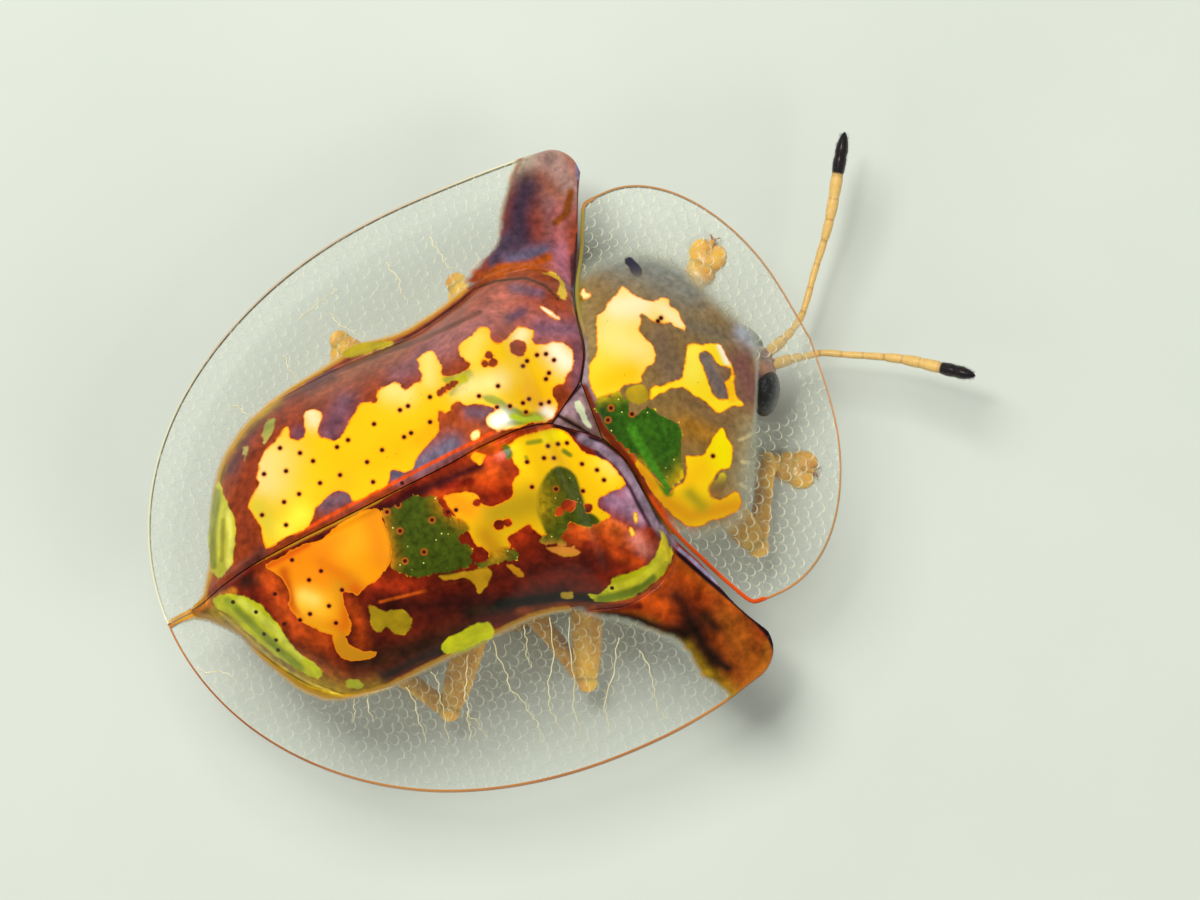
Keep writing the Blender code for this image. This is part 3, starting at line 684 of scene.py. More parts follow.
# Painted light here: the mauve #94746A at the top and #A86470 on the humerus are painted violet sheen, and
# the thin lavender #7A6A80 on the inner edge is a painted highlight.
LEFT_SHOULDER_STROKES = [
    ("#94746A", 22, [(545, 158), (568, 190)]), ("#8A4E36", 12, [(540, 180), (556, 200)]),
    ("#9A6A44", 3.5, [(522, 154), (508, 184), (501, 216)]),
    ("#3A2A38", 19, [(526, 188), (518, 214), (520, 240)]), ("#463848", 11, [(508, 240), (494, 260)]),
    ("#6A4A48", 9, [(550, 204), (554, 236)]), ("#9A5450", 11, [(558, 215), (556, 262)]),
    ("#A86470", 8, [(560, 250), (566, 285)]), ("#5A5064", 8, [(510, 258), (545, 250)]),
    ("#A2480C", 5, [(484, 280), (500, 268), (530, 266), (548, 257)]),
    ("#7A3C0C", 4, [(571, 192), (566, 214), (556, 222)]), ("#4A2C30", 3, [(573, 256), (574, 296)]),
    ("#7A6A80", 2, [(577, 165), (580, 205)]), ("#A8441C", 1.6, [(579, 206), (577, 240)]),
    ("#5E3630", 1.2, [(578, 180), (578, 206), (576, 226)]),
    ("#3A1E1E", 1.4, [(577, 234), (575, 262), (576, 290)]),
]

# %% Right wing case
RIGHT_PATCHES = [
    ("gold", "#FFC60A", [
        (505, 447), (510, 442), (523, 435), (543, 430), (557, 427), (568, 433), (577, 445), (583, 452),
        (597, 457), (610, 462), (618, 472), (625, 483), (623, 487), (610, 493), (598, 498), (598, 507),
        (610, 515), (610, 518), (602, 522), (590, 520), (548, 535), (542, 538), (535, 532), (530, 523),
        (517, 532), (507, 538), (510, 547), (503, 550), (493, 558), (488, 557), (475, 545), (468, 532),
        (457, 518), (447, 503), (442, 497), (455, 492), (472, 491), (480, 497), (480, 503), (490, 507),
        (505, 502), (512, 497), (513, 480), (520, 472), (518, 467), (513, 463), (510, 455),
    ]),
    ("gold", "#FFB40A", [
        (470, 457), (474, 452), (481, 452), (487, 455), (484, 460), (480, 466), (474, 462),
    ]),
    ("gold", "#F79A0A", [
        (262, 566), (278, 558), (293, 550), (304, 543), (320, 541), (335, 528), (358, 512), (379, 507),
        (384, 523), (391, 536), (392, 552), (389, 568), (378, 579), (363, 589), (358, 598), (352, 594),
        (342, 589), (344, 600), (346, 610), (352, 621), (352, 634), (339, 640), (330, 634), (317, 630),
        (299, 621), (288, 606), (290, 595), (285, 584), (278, 574),
    ]),
    ("gold", "#D08A14", [
        (331, 636), (336, 630), (345, 634), (350, 645), (363, 652), (379, 651), (375, 657), (354, 663),
        (337, 656),
    ]),
    ("lime", "#A88A14", [
        (368, 605), (376, 607), (384, 612), (392, 609), (402, 610), (410, 616), (412, 626), (404, 634),
        (394, 633), (386, 626), (380, 633), (373, 627), (370, 616),
    ]),
    ("lime", "#C08E14", [
        (437, 575), (450, 573), (465, 572), (480, 569), (490, 569), (493, 574), (488, 583), (480, 594),
        (476, 586), (468, 578), (455, 579), (442, 580),
    ]),
    ("lime", "#C8860E", [(505, 564), (515, 566), (522, 572), (524, 577), (518, 577), (512, 571)]),
    ("lime", "#B89010", [(543, 547), (560, 546), (575, 549), (582, 553), (570, 556), (555, 554)]),
    ("lime", "#C8C61C", [
        (211, 600), (218, 595), (228, 594), (240, 595), (257, 601), (273, 617), (286, 637), (302, 657),
        (316, 664), (324, 675), (316, 679), (303, 673), (286, 663), (271, 653), (257, 640), (243, 628),
        (228, 615), (216, 608),
    ]),
    ("lime", "#B0B028", [(344, 680), (356, 679), (366, 686), (358, 690), (348, 687)]),
    ("lime", "#D2D010", [
        (440, 648), (445, 640), (460, 632), (478, 622), (490, 622), (494, 630), (492, 638), (480, 642),
        (468, 650), (455, 654), (444, 654),
    ]),
    ("lime", "#C2BE12", [
        (585, 593), (598, 595), (610, 586), (612, 578), (625, 574), (640, 570), (652, 562), (660, 548),
        (662, 535), (655, 527), (665, 533), (672, 548), (672, 560), (665, 572), (655, 582), (645, 590),
        (632, 598), (615, 601), (598, 602),
    ]),
    # Painted glints: these two small pale gold flecks on the flank.
    ("gold", "#FFE45A", [(634, 511), (637, 513), (638, 521), (636, 525), (633, 519)]),
    ("gold", "#FFDC4A", [(629, 526), (633, 527), (635, 534), (632, 538), (629, 532)]),
    ("lime", "#B09028", [(560, 592), (572, 592), (573, 599), (562, 599)]),
    # Painted green reflection: the green patches below, dark green with gold specks.
    ("green", "#3A460A", [
        (381, 510), (392, 506), (400, 504), (410, 496), (424, 497), (432, 494), (440, 502), (443, 510),
        (453, 517), (464, 522), (469, 530), (462, 538), (470, 546), (474, 558), (470, 566), (453, 573),
        (432, 574), (416, 578), (403, 573), (389, 568), (392, 552), (390, 536), (384, 523),
    ]),
    ("green", "#46520C", [
        (558, 467), (568, 470), (575, 477), (578, 487), (582, 500), (585, 512), (595, 517), (600, 523),
        (590, 527), (575, 523), (565, 530), (560, 540), (580, 548), (550, 545), (536, 541), (548, 536),
        (545, 527), (540, 517), (537, 507), (538, 495), (543, 483), (550, 472),
    ]),
    ("green", "#3C4A10", [
        (470, 560), (490, 552), (505, 548), (520, 552), (516, 560), (500, 562), (480, 568),
    ]),
    ("green", "#4E5C10", [(503, 444), (508, 446), (512, 455), (508, 460), (503, 454)]),
]
RIGHT_HOLES = [
    (568, 506, 6), (560, 512, 5), (574, 504, 4), (572, 528, 5), (584, 532, 6), (464, 538, 6), (480, 555, 8),
    (499, 525, 4.5), (508, 522, 4), (588, 507, 4), (447, 512, 3.5), (477, 503, 4),
]
RIGHT_DOTS = [
    (527, 462), (548, 446), (558, 444), (544, 458), (554, 458), (582, 464), (597, 470), (604, 480),
    (532, 487), (583, 491), (456, 510), (567, 443), (292, 560), (321, 571), (309, 580), (310, 614),
    (329, 606), (300, 620), (336, 623), (233, 602), (256, 612), (264, 634), (276, 640), (278, 650),
    (612, 588), (432, 520), (400, 531), (424, 552), (405, 561), (398, 505), (387, 512), (556, 489),
    (275, 594), (284, 624), (342, 590), (448, 512),
]
RIGHT_GOLD_STROKES = [
    ("#FFE400", 9, [(548, 436), (562, 434)]), ("#FFDA20", 12, [(598, 462), (612, 478)]),
    ("#FFE05A", 7, [(606, 464), (612, 470)]), ("#C09A12", 22, [(496, 512), (530, 502)]),
    ("#FF9A10", 14, [(452, 498), (466, 508)]), ("#C88E10", 12, [(485, 535), (495, 550)]),
    ("#EC840A", 16, [(280, 564), (312, 552), (338, 545)]), ("#F28A0C", 14, [(300, 574), (326, 582)]),
    # Painted highlight: #FFBE2A and #FFD25A, the pale yellow middle of the orange patch.
    ("#FFBE2A", 15, [(306, 602), (318, 606)]), ("#FFD25A", 7, [(304, 596), (314, 600)]),
    ("#F4A012", 14, [(350, 552), (364, 540)]), ("#C8961C", 12, [(345, 585), (352, 600)]),
    ("#E0700C", 8, [(326, 632), (345, 626), (349, 600)]),
    ("#E4640A", 5, [(264, 567), (290, 553), (306, 544)]),
    ("#DE6A0A", 5, [(286, 584), (290, 604), (300, 620)]), ("#D8640A", 9, [(354, 588), (362, 598)]),
    ("#C85A08", 6, [(284, 572), (289, 602)]), ("#E07A0A", 9, [(322, 562), (345, 578)]),
    ("#F0A012", 9, [(300, 622), (330, 634)]), ("#8E9A18", 4, [(228, 600), (262, 634), (300, 668)]),
    ("#D4D444", 4, [(240, 600), (274, 628), (300, 656)]),
    ("#6E7E10", 5, [(600, 600), (632, 592), (652, 578)]),
    ("#D8D02A", 4, [(612, 588), (640, 580), (656, 566)]), ("#E88A10", 12, [(372, 516), (382, 560)]),
    ("#9A9A14", 2.6, [(528, 443), (540, 441)]), ("#7E8212", 2.6, [(564, 451), (570, 455)]),
    ("#A09A14", 2.2, [(526, 457), (528, 462)]), ("#F0D818", 8, [(658, 535), (668, 556)]),
    ("#E08A30", 7, [(543, 550), (580, 550)]),
]
RIGHT_CUTICLE = "#741C06"
# Painted light among these strokes: #90667A, #C4705E, #A87C90 and #8A7482 are painted lavender and pink
# reflection; #3A0F08, #6A1A08, #3E1E0C, #2C1A0C, #160E08, #2A160C and #5A1606 are painted shade that darkens
# the steep flank.
RIGHT_STROKES = [
    ("#E04C0A", 14, [(484, 462), (512, 448)]), ("#B83C0A", 15, [(440, 490), (505, 480)]),
    ("#D8500E", 6, [(462, 476), (498, 470)]), ("#8A1E06", 5, [(440, 486), (470, 482)]),
    ("#8A2206", 10, [(478, 498), (505, 495)]), ("#C43E0C", 9, [(557, 512), (578, 504)]),
    ("#CC4C10", 12, [(568, 530), (605, 538)]), ("#C04E14", 14, [(600, 530), (632, 545)]),
    ("#E0641A", 5, [(584, 526), (604, 520), (622, 528)]),
    ("#8E260A", 4, [(586, 544), (612, 548), (636, 556)]), ("#9C2A08", 14, [(520, 535), (515, 520)]),
    ("#90667A", 11, [(612, 500), (632, 510)]), ("#C4705E", 8, [(636, 538), (644, 552)]),
    ("#A87C90", 6, [(628, 492), (640, 520)]), ("#3A0F08", 26, [(390, 605), (480, 600), (560, 585)]),
    ("#6A1A08", 14, [(500, 580), (600, 566)]), ("#3E1E0C", 16, [(360, 662), (420, 648), (470, 632)]),
    ("#2C1A0C", 7, [(470, 612), (540, 600), (600, 600)]),
    ("#74300E", 5, [(520, 612), (560, 604), (620, 604)]), ("#A2440E", 16, [(640, 592), (680, 580)]),
    ("#96300C", 10, [(270, 590), (282, 608)]), ("#3C1A10", 8, [(245, 582), (275, 575)]),
    ("#2A0B08", 16, [(356, 618), (366, 644)]), ("#70280E", 10, [(296, 632), (330, 664)]),
    ("#8E3C10", 8, [(300, 655), (340, 675)]),
    ("#B08C14", 12, [(214, 612), (240, 632), (262, 652), (290, 672), (320, 687), (352, 698), (378, 692)]),
    ("#7A5A08", 1.8, [(225, 622), (250, 644), (276, 664), (300, 679), (345, 696)]),
    ("#D8B838", 1.4, [(220, 613), (250, 639), (280, 666), (312, 684), (350, 699)]),
    ("#B8440E", 9, [(266, 574), (282, 592), (285, 614), (298, 629), (326, 643)]),
    ("#A83C0C", 8, [(350, 604), (358, 622), (362, 642)]),
    ("#160E08", 5, [(500, 604), (560, 597), (600, 599), (642, 590)]),
    ("#2A160C", 6, [(384, 676), (430, 655), (470, 640)]), ("#9A2A0A", 10, [(360, 580), (420, 585)]),
    ("#C0500C", 1.6, [(380, 602), (420, 592), (470, 580)]),
    ("#421210", 7, [(300, 552), (380, 510), (430, 486), (480, 466)]),
    ("#2A0C0C", 3, [(556, 426), (580, 436), (600, 446)]), ("#C8741A", 5, [(165, 626), (232, 592)]),
    ("#B0702A", 14, [
        (167, 630), (190, 686), (238, 738), (300, 773), (370, 789), (440, 790), (520, 778), (600, 755),
        (680, 722), (735, 700),
    ]),
    ("#C04A0A", 4, [(492, 452), (520, 440), (548, 428)]), ("#D2600E", 6, [(470, 448), (488, 442)]),
    ("#B8400A", 6, [(600, 540), (622, 556), (640, 562)]),
    ("#5A1606", 8, [(430, 590), (520, 572), (590, 562)]),
    ("#8A7482", 5, [(582, 438), (600, 447), (620, 463), (634, 482), (644, 502), (656, 524), (672, 542)]),
    ("#3A2430", 2, [(596, 452), (618, 472), (630, 488), (640, 508), (650, 526)]),
    ("#2E1A1C", 2, [(590, 437), (604, 442), (622, 455), (637, 472), (648, 498), (660, 522)]),
]
RIGHT_DISC = [
    (165, 624), (200, 614), (240, 632), (260, 655), (280, 672), (300, 688), (330, 700), (380, 690),
    (430, 665), (490, 635), (540, 612), (600, 604), (640, 596), (666, 574), (676, 548), (690, 530),
    (640, 440), (560, 380), (400, 490), (165, 605),
]
RIGHT_SHOULDER = [
    (570, 600), (600, 596), (650, 570), (664, 520), (700, 500), (800, 560), (840, 690), (760, 740),
    (734, 706), (726, 692), (714, 684), (704, 678), (696, 667), (690, 655), (682, 643), (668, 636),
    (654, 630), (638, 625), (620, 619), (600, 616), (580, 610),
]
RIGHT_SHOULDER_STROKES = [
    ("#A23E08", 30, [(620, 600), (690, 575)]), ("#8E470C", 24, [(730, 620), (752, 668)]),
    ("#8A6A10", 12, [(690, 650), (716, 684), (734, 702)]),
    ("#7A6410", 9, [(604, 618), (650, 628), (682, 642)]),
    ("#1A0C08", 13, [(676, 600), (684, 612), (690, 622)]), ("#1A0C08", 9, [(672, 628), (684, 634)]),
    ("#201008", 11, [(696, 630), (704, 648), (714, 658)]), ("#24120A", 6, [(714, 660), (728, 668)]),
    ("#1C0E0A", 6, [(668, 630), (650, 624), (624, 616), (604, 615)]),
    ("#2E1608", 8, [(704, 616), (714, 626)]), ("#B8460C", 10, [(612, 596), (652, 600), (668, 612)]),
    ("#9A5410", 6, [(745, 690), (764, 668), (768, 645)]), ("#6E1E06", 4, [(600, 608), (640, 606)]),
    ("#A0480C", 7, [(672, 556), (700, 578), (736, 606)]),
    ("#140A10", 2.6, [
        (672, 548), (684, 559), (700, 573), (722, 592), (742, 609), (757, 622), (769, 636), (775, 650),
        (775, 664),
    ]),
    # Painted highlight: the thin pale blue-grey line beside the black edge.
    ("#8A88A8", 1.8, [(676, 547), (690, 558), (706, 573), (724, 588), (740, 602), (750, 611)]),
]

# %% Neck shield
SHIELD_PATCHES = [
    ("gold", "#FBD22E", [
        (622, 285), (625, 287), (634, 294), (647, 300), (657, 301), (661, 296), (671, 298), (669, 305),
        (678, 310), (681, 318), (687, 327), (686, 333), (681, 329), (675, 327), (671, 322), (663, 324),
        (653, 322), (647, 316), (640, 314), (642, 322), (640, 329), (645, 337), (653, 345), (656, 354),
        (655, 362), (647, 368), (642, 376), (642, 383), (626, 385), (618, 393), (609, 395), (599, 401),
        (593, 391), (588, 381), (589, 362), (595, 356), (597, 345), (596, 331), (595, 317), (605, 310),
        (607, 302), (614, 296), (620, 289),
    ]),
    ("gold", "#FBEFA0", [
        (581, 288), (585, 288), (586, 293), (592, 294), (592, 297), (586, 299), (582, 299),
    ]),
    ("gold", "#FFDC1E", [
        (686, 344), (694, 343), (705, 345), (721, 343), (725, 352), (732, 364), (735, 374), (734, 385),
        (736, 397), (745, 403), (742, 407), (729, 407), (719, 414), (713, 410), (703, 401), (694, 395),
        (684, 388), (674, 388), (663, 393), (649, 402), (648, 387), (667, 384), (680, 380), (683, 370),
        (685, 358),
    ]),
    ("gold", "#FFD80A", [
        (721, 427), (725, 430), (729, 441), (734, 449), (733, 461), (729, 470), (719, 470), (715, 480),
        (709, 488), (712, 497), (722, 500), (738, 490), (742, 500), (738, 512), (720, 518), (705, 524),
        (696, 529), (684, 524), (672, 515), (658, 500), (645, 482), (634, 462), (640, 462), (652, 474),
        (664, 487), (669, 496), (674, 487), (684, 481), (687, 470), (684, 454), (690, 456), (704, 455),
        (707, 447), (713, 439),
    ]),
    ("lime", "#A88C1E", [(624, 388), (640, 384), (650, 390), (648, 402), (636, 404), (626, 400)]),
    # Painted green reflection: this green patch, dark green with gold specks, and the green strokes 3C7416
    # and #24400C over it.
    ("green", "#2E5410", [
        (592, 402), (600, 398), (610, 395), (618, 392), (626, 400), (630, 404), (629, 412), (638, 414),
        (645, 408), (648, 404), (655, 412), (665, 418), (674, 421), (680, 426), (682, 440), (681, 455),
        (684, 470), (686, 478), (678, 481), (672, 487), (669, 496), (664, 486), (655, 475), (645, 466),
        (635, 456), (625, 448), (615, 438), (606, 425), (598, 412),
    ]),
    ("spot", "#2A2838", [
        (625, 258), (631, 256), (636, 262), (642, 268), (642, 276), (636, 278), (630, 272), (629, 266),
        (625, 263),
    ]),
    ("spot", "#4A3A34", [
        (709, 488), (715, 480), (722, 472), (728, 474), (726, 486), (718, 497), (712, 497),
    ]),
]
SHIELD_HOLE = [
    (699, 354), (705, 351), (713, 355), (717, 364), (730, 368), (730, 376), (724, 381), (725, 387),
    (729, 393), (728, 400), (717, 398), (712, 393), (709, 381), (703, 366),
]
SHIELD_DOTS = [(611, 408), (632, 414), (608, 420), (713, 456), (661, 318), (658, 321)]
# Painted light: #FCEBB4, #FBE9A4 and #FBDF7C pale the top of the gold as a painted highlight, and FFF8D8 is a
# small painted glint.
SHIELD_GOLD_STROKES = [
    ("#FCEBB4", 18, [(618, 308), (640, 304)]), ("#FBE9A4", 8, [(662, 308), (680, 322)]),
    ("#FBDF7C", 18, [(610, 335), (640, 350)]), ("#F9C416", 14, [(600, 385), (630, 374)]),
    ("#FFF8D8", 5, [(722, 346), (728, 360)]), ("#FFE84A", 12, [(692, 352), (692, 372)]),
    ("#FFC20E", 5, [(727, 380), (732, 398)]), ("#FFE800", 14, [(722, 440), (722, 462)]),
    ("#FFC60A", 14, [(700, 470), (690, 482)]), ("#E09A10", 13, [(664, 500), (690, 516), (735, 506)]),
    ("#B49A14", 7, [(690, 494), (702, 506)]), ("#D8920E", 9, [(640, 470), (654, 486)]),
    ("#3C7416", 5, [(632, 428), (650, 462), (668, 492)]), ("#24400C", 8, [(606, 412), (612, 430)]),
]
SHIELD_FILM = "#8E6E3C"
# Painted glint: #90939C, the pale blue-grey at (742, 332) to (758, 342).
SHIELD_STROKES = [
    ("#7A6248", 16, [(660, 338), (672, 372)]), ("#746660", 9, [(704, 358), (722, 392)]),
    ("#7E5248", 16, [(740, 362), (752, 392)]), ("#90939C", 11, [(742, 332), (758, 342)]),
    ("#7C7E74", 26, [(605, 250), (690, 285)]), ("#A4701E", 16, [(690, 425), (712, 432)]),
    ("#84643C", 12, [(690, 402), (730, 425)]), ("#9A7E4C", 12, [(584, 300), (592, 350)]),
    ("#9C8C66", 14, [(752, 430), (742, 480)]), ("#7A6A50", 10, [(690, 325), (720, 335)]),
    ("#D05A12", 3, [(598, 408), (640, 468), (690, 528), (745, 590)]),
    ("#8A6A14", 3, [(581, 210), (581, 300)]), ("#9C8890", 4, [(583, 340), (586, 385), (600, 420)]),
    ("#A8743E", 14, [
        (582, 210), (600, 188), (640, 180), (690, 196), (740, 243), (790, 308), (816, 362), (830, 420),
    ]),
    ("#B0743A", 14, [(830, 420), (832, 470), (820, 520), (795, 578), (770, 600)]),
    ("#CDBB84", 2, [(740, 440), (757, 432)]), ("#CDBB84", 2, [(742, 462), (760, 463)]),
    ("#CDBB84", 2, [(741, 484), (757, 494)]), ("#CDBB84", 2, [(730, 504), (745, 520)]),
    ("#8A7A2A", 6, [(581, 215), (577, 250), (575, 320)]),
    ("#6E2208", 5, [(584, 388), (602, 428), (628, 460), (648, 494)]),
    ("#C4440E", 5, [(652, 500), (672, 526), (690, 544), (722, 579), (745, 598), (765, 601)]),
]
SHIELD_COVER = [
    (560, 290), (600, 262), (640, 252), (676, 262), (702, 284), (722, 306), (742, 322), (756, 340),
    (757, 372), (755, 420), (750, 470), (742, 510), (728, 524), (700, 532), (676, 526), (640, 520),
    (580, 440), (556, 340),
]
print("patches traced:", len(LEFT_PATCHES) + len(RIGHT_PATCHES) + len(SHIELD_PATCHES))

# %% [markdown]
# ## Numbers on each point
# The traced patches now become numbers on the shell's points: how far inside gold, lime, green, spot and
# the nearest puncture each point lies, and two colours, one for the metallic patches and one for the
# cuticle between them; both also carry the strokes' painted highlights, reflection and shade. Real
# punctures are pits, so the same distances also sink the surface there.

# %% Markings as attributes
PUNCTURE = 2.2  # pixels
TINT_SPILL = 0.06  # how far a patch's colour reaches under its edge
METALLIC = ("gold", "lime", "green")


def read_marks(places, patches, gold_strokes, holes, dots, base, strokes):
    """Distances in millimetres and colours at each place in the photograph; the colours hold painted light
    too.
    """
    marks = {word: np.full(len(places), -FAR) for word in (*METALLIC, "spot")}
    tint = np.tile(linear(patches[0][1]), (len(places), 1))
    for kind, code, outline in patches:
        gone = inside_by(places, outline)
        marks[kind] = np.maximum(marks[kind], gone)
        cover = ramp(gone, -TINT_SPILL, 0.0)[:, None]
        tint = tint * (1 - cover) + linear(code) * cover
    for hole in holes:
        gone = inside_by(places, hole) if len(hole) > 3 else within_dots(places, [hole])
        for word in METALLIC:
            marks[word] = np.minimum(marks[word], -gone)
    marks["dots"] = within_dots(places, [(x, y, PUNCTURE) for x, y in dots])
    marks["gold_tint_and_painted_light"] = shaded(places, tint, gold_strokes)
    marks["cuticle_tint_and_painted_light"] = shaded(places, np.tile(linear(base), (len(places), 1)), strokes)
    return marks


# %% [markdown]
# ## Cells in the clear brim
# The shells are insect cuticle: hard, glossy and as clear as horn at the brim. Between the brim's two
# faces stand little columns, so that it looks like a sheet of bubbles. They are a flat Voronoi pattern
# seen from above. A wall is a ring between two distances from a cell's middle. It is painted paler on
# one fixed side, a painted highlight, and darker on the other, painted shade, so the place of a point
# within its cell also counts.

# %% Cells of the brim
CELL_MM = 0.19
CELL_DISORDER = 0.5  # 0 for a perfect honeycomb
# Painted light: each cell's pale crescent, a painted highlight, lies on this side, its painted shade on the
# other.
BUBBLE_LIT = (-0.55, -0.83, 0.0)  # each cell's pale crescent lies on this side
WALL_SHADED, WALL_LIT = "#7E8658", "#F2E9BE"


def brim_cells(tree, place, noise, foam, bubbles, crumple):
    """Ring walls round the cells' middles, painted paler on the lit side; crumple moves the cells out of
    line.
    """
    wobble = node(tree, "VectorMath", (noise.node.outputs["Color"], (0.5, 0.5, 0.5)), operation="SUBTRACT")
    shift = node(tree, "VectorMath", {0: wobble, 3: crumple * MM}, operation="SCALE")
    spot = node(tree, "VectorMath", (place, shift), operation="ADD")
    cells = node(
        tree, "TexVoronoi", {"Vector": spot, "Scale": 1 / (CELL_MM * MM), "Randomness": CELL_DISORDER},
        "Distance", voronoi_dimensions="2D",
    )
    off = node(tree, "VectorMath", (spot, cells.node.outputs["Position"]), operation="SUBTRACT")
    toward = node(tree, "VectorMath", (off, BUBBLE_LIT), "Value", operation="DOT_PRODUCT")
    lit = node(tree, "MapRange", (toward, -0.1 * CELL_MM * MM, 0.45 * CELL_MM * MM))
    rise = node(tree, "MapRange", (cells, 0.36, 0.44), interpolation_type="SMOOTHSTEP")
    fall = node(tree, "MapRange", (cells, 0.46, 0.53, 1.0, 0.0))
    ring = node(tree, "Math", (rise, fall), operation="MULTIPLY")
    foamy = node(tree, "Math", (foam, bubbles), operation="MULTIPLY")
    walls = node(tree, "Math", (ring, foamy), operation="MULTIPLY")
    crescent = node(tree, "Math", (lit, 0.48, 0.52), operation="MULTIPLY_ADD")
    return {
        "walls": walls,
        "crescents": node(tree, "Math", (walls, crescent), operation="MULTIPLY"),
        "dents": node(tree, "Math", (cells, foamy), operation="MULTIPLY"),
        "colour": node(tree, "Mix", {0: lit, 6: rgba(WALL_SHADED), 7: rgba(WALL_LIT)}, 2, data_type="RGBA"),
    }


# %% [markdown]
# ## Gold, lime and green
# Under the disc lies a stack of thin layers that shines like gold leaf seen through lacquer. Where the
# stack is thinner it turns lime. The green patches with gold specks are a painted green reflection. All
# three start from the traced colour and are made uneven by noise, as grown things are.

# %% Three sheens
PRICK_MM, SPECK_MM = 0.27, 0.17
SPECK = "#D8D070"


def sheens(tree, place, tint, grain, patchy, drift):
    """Gold = tint * fine pricks * slow drift; lime = gold * streaks; green = tint * grain, with specks."""
    pricks, specks = (
        node(tree, "TexVoronoi", {"Vector": place, "Scale": 1 / (size * MM)}) for size in (PRICK_MM, SPECK_MM)
    )
    prick = node(tree, "MapRange", (pricks, 0.03, 0.07, 0.62, 1.0))
    slow = node(tree, "MapRange", (drift, 0.0, 1.0, 0.88, 1.1))
    sheen = node(tree, "Math", (prick, slow), operation="MULTIPLY")
    gold = node(tree, "VectorMath", {0: tint, 3: sheen}, operation="SCALE")
    streak = node(tree, "MapRange", (patchy, 0.35, 0.65, 0.78, 1.1))
    lime = node(tree, "VectorMath", {0: gold, 3: streak}, operation="SCALE")
    deep = node(tree, "MapRange", (grain, 0.3, 0.7, 0.55, 1.3))
    shade = node(tree, "VectorMath", {0: tint, 3: deep}, operation="SCALE")
    speck = node(tree, "MapRange", (specks, 0.06, 0.1, 1.0, 0.0))
    green = node(tree, "Mix", {0: speck, 6: shade, 7: rgba(SPECK)}, 2, data_type="RGBA")
    return gold, lime, green


# %% [markdown]
# ## Lacquered cuticle
# The shader is a lacquer coat over a satin base. Its colour is laid on in layers, from the haze of the
# clear brim up to the dark pits: each layer covers the ones below it where its stored distance turns
# positive. The same covers make the gold a little metallic and decide where the brim stays clear.

# %% The shells' material
NUMBERS = ("gold", "lime", "green", "spot", "dots", "cover", "foot", "rim", "under", "foam")
TINTS = ("gold_tint_and_painted_light", "cuticle_tint_and_painted_light")
GRAIN_MM, PATCH_MM, DRIFT_MM = 0.12, 0.3, 0.9
FINE_RAG, COARSE_RAG, GRANULES = 0.06, 0.1, 0.22  # millimetres that the noises move an edge
BROWN_RAG = 1.5  # the brown's edge moves that much more
HAZE, FOOT_AMBER, GOLD_EDGE, PIT_RING, PIT_BROWN = "#BBC3AE", "#BC881C", "#EE8408", "#DC5A14", "#3A1208"
RIM_LINE, FOOT_LINE = 0.032, 0.05  # half widths of the lines along the rim and round the foot
EDGE_WIDTH = 0.02  # the gold's orange edge
RING_WIDTH = 0.025  # the orange ring round a pit, which shows on metallic patches only
BRIM_ALPHA = 0.08
WALL_ALPHA = 0.8  # how much less clear the cells' walls are
UNDER_ALPHA = 0.15  # the brim's lower face has that share of the upper one's haze
GOLD_METALLIC = 0.25  # gold seen through lacquer, so not a bare metal
SOLID = ("fringe", "lime", "green", "spot", "pit", "rim", "foot")  # layers that are never clear
CASE_SOFT, FILM_SOFT = 0.09, 0.24  # how far the brown fades at its edge


def lay_over(tree, colour, layers):
    """Lays each colour over those below where its distance is positive; keeps how much each covers."""
    covers = {}
    for name, paint, distance, soft, strength in layers:
        covers[name] = node(
            tree, "MapRange", (distance, -soft, soft, 0.0, strength), interpolation_type="SMOOTHSTEP",
        )
        colour = node(tree, "Mix", {0: covers[name], 6: colour, 7: paint}, 2, data_type="RGBA")
    return colour, covers


